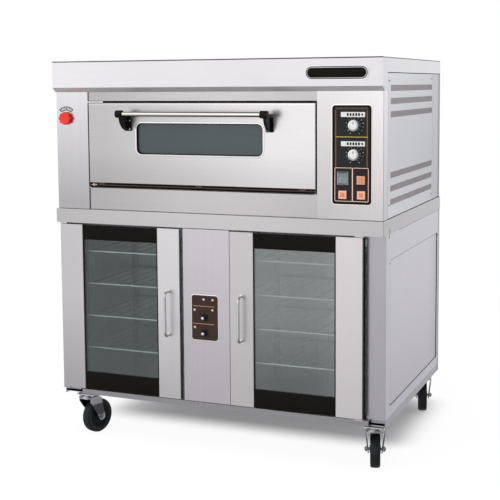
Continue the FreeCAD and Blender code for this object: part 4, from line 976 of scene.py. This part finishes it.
def room():
    """Soft studio all round, graded by height and by compass direction; the camera sees plain white."""
    world = bpy.data.worlds.new("studio_world")
    world.use_nodes = True
    tree = world.node_tree
    direction = tree.nodes.new("ShaderNodeTexCoord").outputs["Generated"]
    parts = tree.nodes.new("ShaderNodeSeparateXYZ")
    tree.links.new(direction, parts.inputs[0])
    height = tree.nodes.new("ShaderNodeMapRange")
    height.inputs["From Min"].default_value = -1.0
    tree.links.new(parts.outputs["Z"], height.inputs["Value"])
    by_height = ramp(tree, height.outputs[0], [(0.0, 0.25), (0.3, 0.45), (0.38, 0.68), (0.44, 0.8), (0.5, 0.98),
                                               (0.58, 1.0), (0.82, 1.0), (0.9, 0.55), (1.0, 0.25)])
    compass = tree.nodes.new("ShaderNodeTexGradient")
    compass.gradient_type = "RADIAL"
    tree.links.new(direction, compass.inputs[0])
    by_compass = ramp(tree, compass.outputs["Fac"], [
        (0.0, (0.7, 0.7, 0.72)), (0.13, (1.0, 1.0, 1.0)), (0.168, (0.8, 0.79, 0.81)),
        (0.19, (1.05, 1.04, 1.04)), (0.22, (0.92, 0.91, 0.92)), (0.3, (0.3, 0.3, 0.31)),
        (0.5, (0.6, 0.6, 0.62)), (0.66, (0.7, 0.7, 0.73)), (0.72, (0.78, 0.78, 0.8)),
        (0.8, (0.9, 0.9, 0.92)), (1.0, (0.7, 0.7, 0.72))])
    mixed = tree.nodes.new("ShaderNodeMix")
    mixed.data_type = "RGBA"
    mixed.blend_type = "MULTIPLY"
    mixed.inputs["Factor"].default_value = 1.0
    tree.links.new(by_height, mixed.inputs["A"])
    tree.links.new(by_compass, mixed.inputs["B"])
    background = tree.nodes["Background"]
    tree.links.new(mixed.outputs["Result"], background.inputs["Color"])
    background.inputs["Strength"].default_value = 1.2
    plain = tree.nodes.new("ShaderNodeBackground")
    plain.inputs["Color"].default_value = (1.0, 1.0, 1.0, 1)
    plain.inputs["Strength"].default_value = 1.0
    path = tree.nodes.new("ShaderNodeLightPath")
    chosen = tree.nodes.new("ShaderNodeMixShader")
    tree.links.new(path.outputs["Is Camera Ray"], chosen.inputs["Fac"])
    tree.links.new(background.outputs[0], chosen.inputs[1])
    tree.links.new(plain.outputs[0], chosen.inputs[2])
    tree.links.new(chosen.outputs[0], tree.nodes["World Output"].inputs["Surface"])
    bpy.context.scene.world = world


def studio():
    room()
    area_light("top_bank", (0.2, -0.9, 4.0), (0.0, -0.2, 0.8), (3.4, 2.6), 70)
    area_light("front_card", (-2.6, -3.6, 2.6), (0.0, -0.3, 0.8), (1.2, 1.6), 30)
    area_light("low_card", (1.0, -3.7, 0.9), (0.0, 0.0, 0.45), (1.6, 1.0), 40)
    bpy.context.scene.view_settings.view_transform = "Standard"


def camera():
    """Camera just below the height of the top, to the right of the object's middle."""
    data = bpy.data.cameras.new("camera")
    data.sensor_width = 36.0
    data.lens = 77.9
    data.shift_y = -0.13
    made = bpy.data.objects.new("camera", data)
    yaw, pitch, roll = 0.386, -0.0924, -0.0069
    upright = Matrix.Rotation(math.pi / 2 + pitch, 3, "X")
    turn = Matrix.Rotation(yaw, 3, "Z") @ upright @ Matrix.Rotation(roll, 3, "Z")
    made.matrix_world = Matrix.Translation((1.5178, -3.7732, 1.2902)) @ turn.to_4x4()
    bpy.context.scene.collection.objects.link(made)
    bpy.context.scene.camera = made


dress_nodes()
badge()
damper_scale()
door_catch()
window_trim()
front_shade_strips()
vent_boards()
plate_beads_and_shadow_strips()
bracket_screws()
control_prints()
plate_trims()
temperature_dial("dial_knob_top", "temperature_knob_top", "dial_top_turn", "dial_top")
temperature_dial("dial_knob_bottom", "temperature_knob_bottom", "dial_bottom_turn", "dial_bottom")
button_lenses()
rocker_marks()
for side_name in ("left", "right"):
    door_bands(side_name)
shelf_rims()
prover_prints()
for wheel_place in ("front_left", "front_right", "rear_left", "rear_right"):
    castor_wheel(wheel_place)
casing_screws()
floor()
studio()
camera()
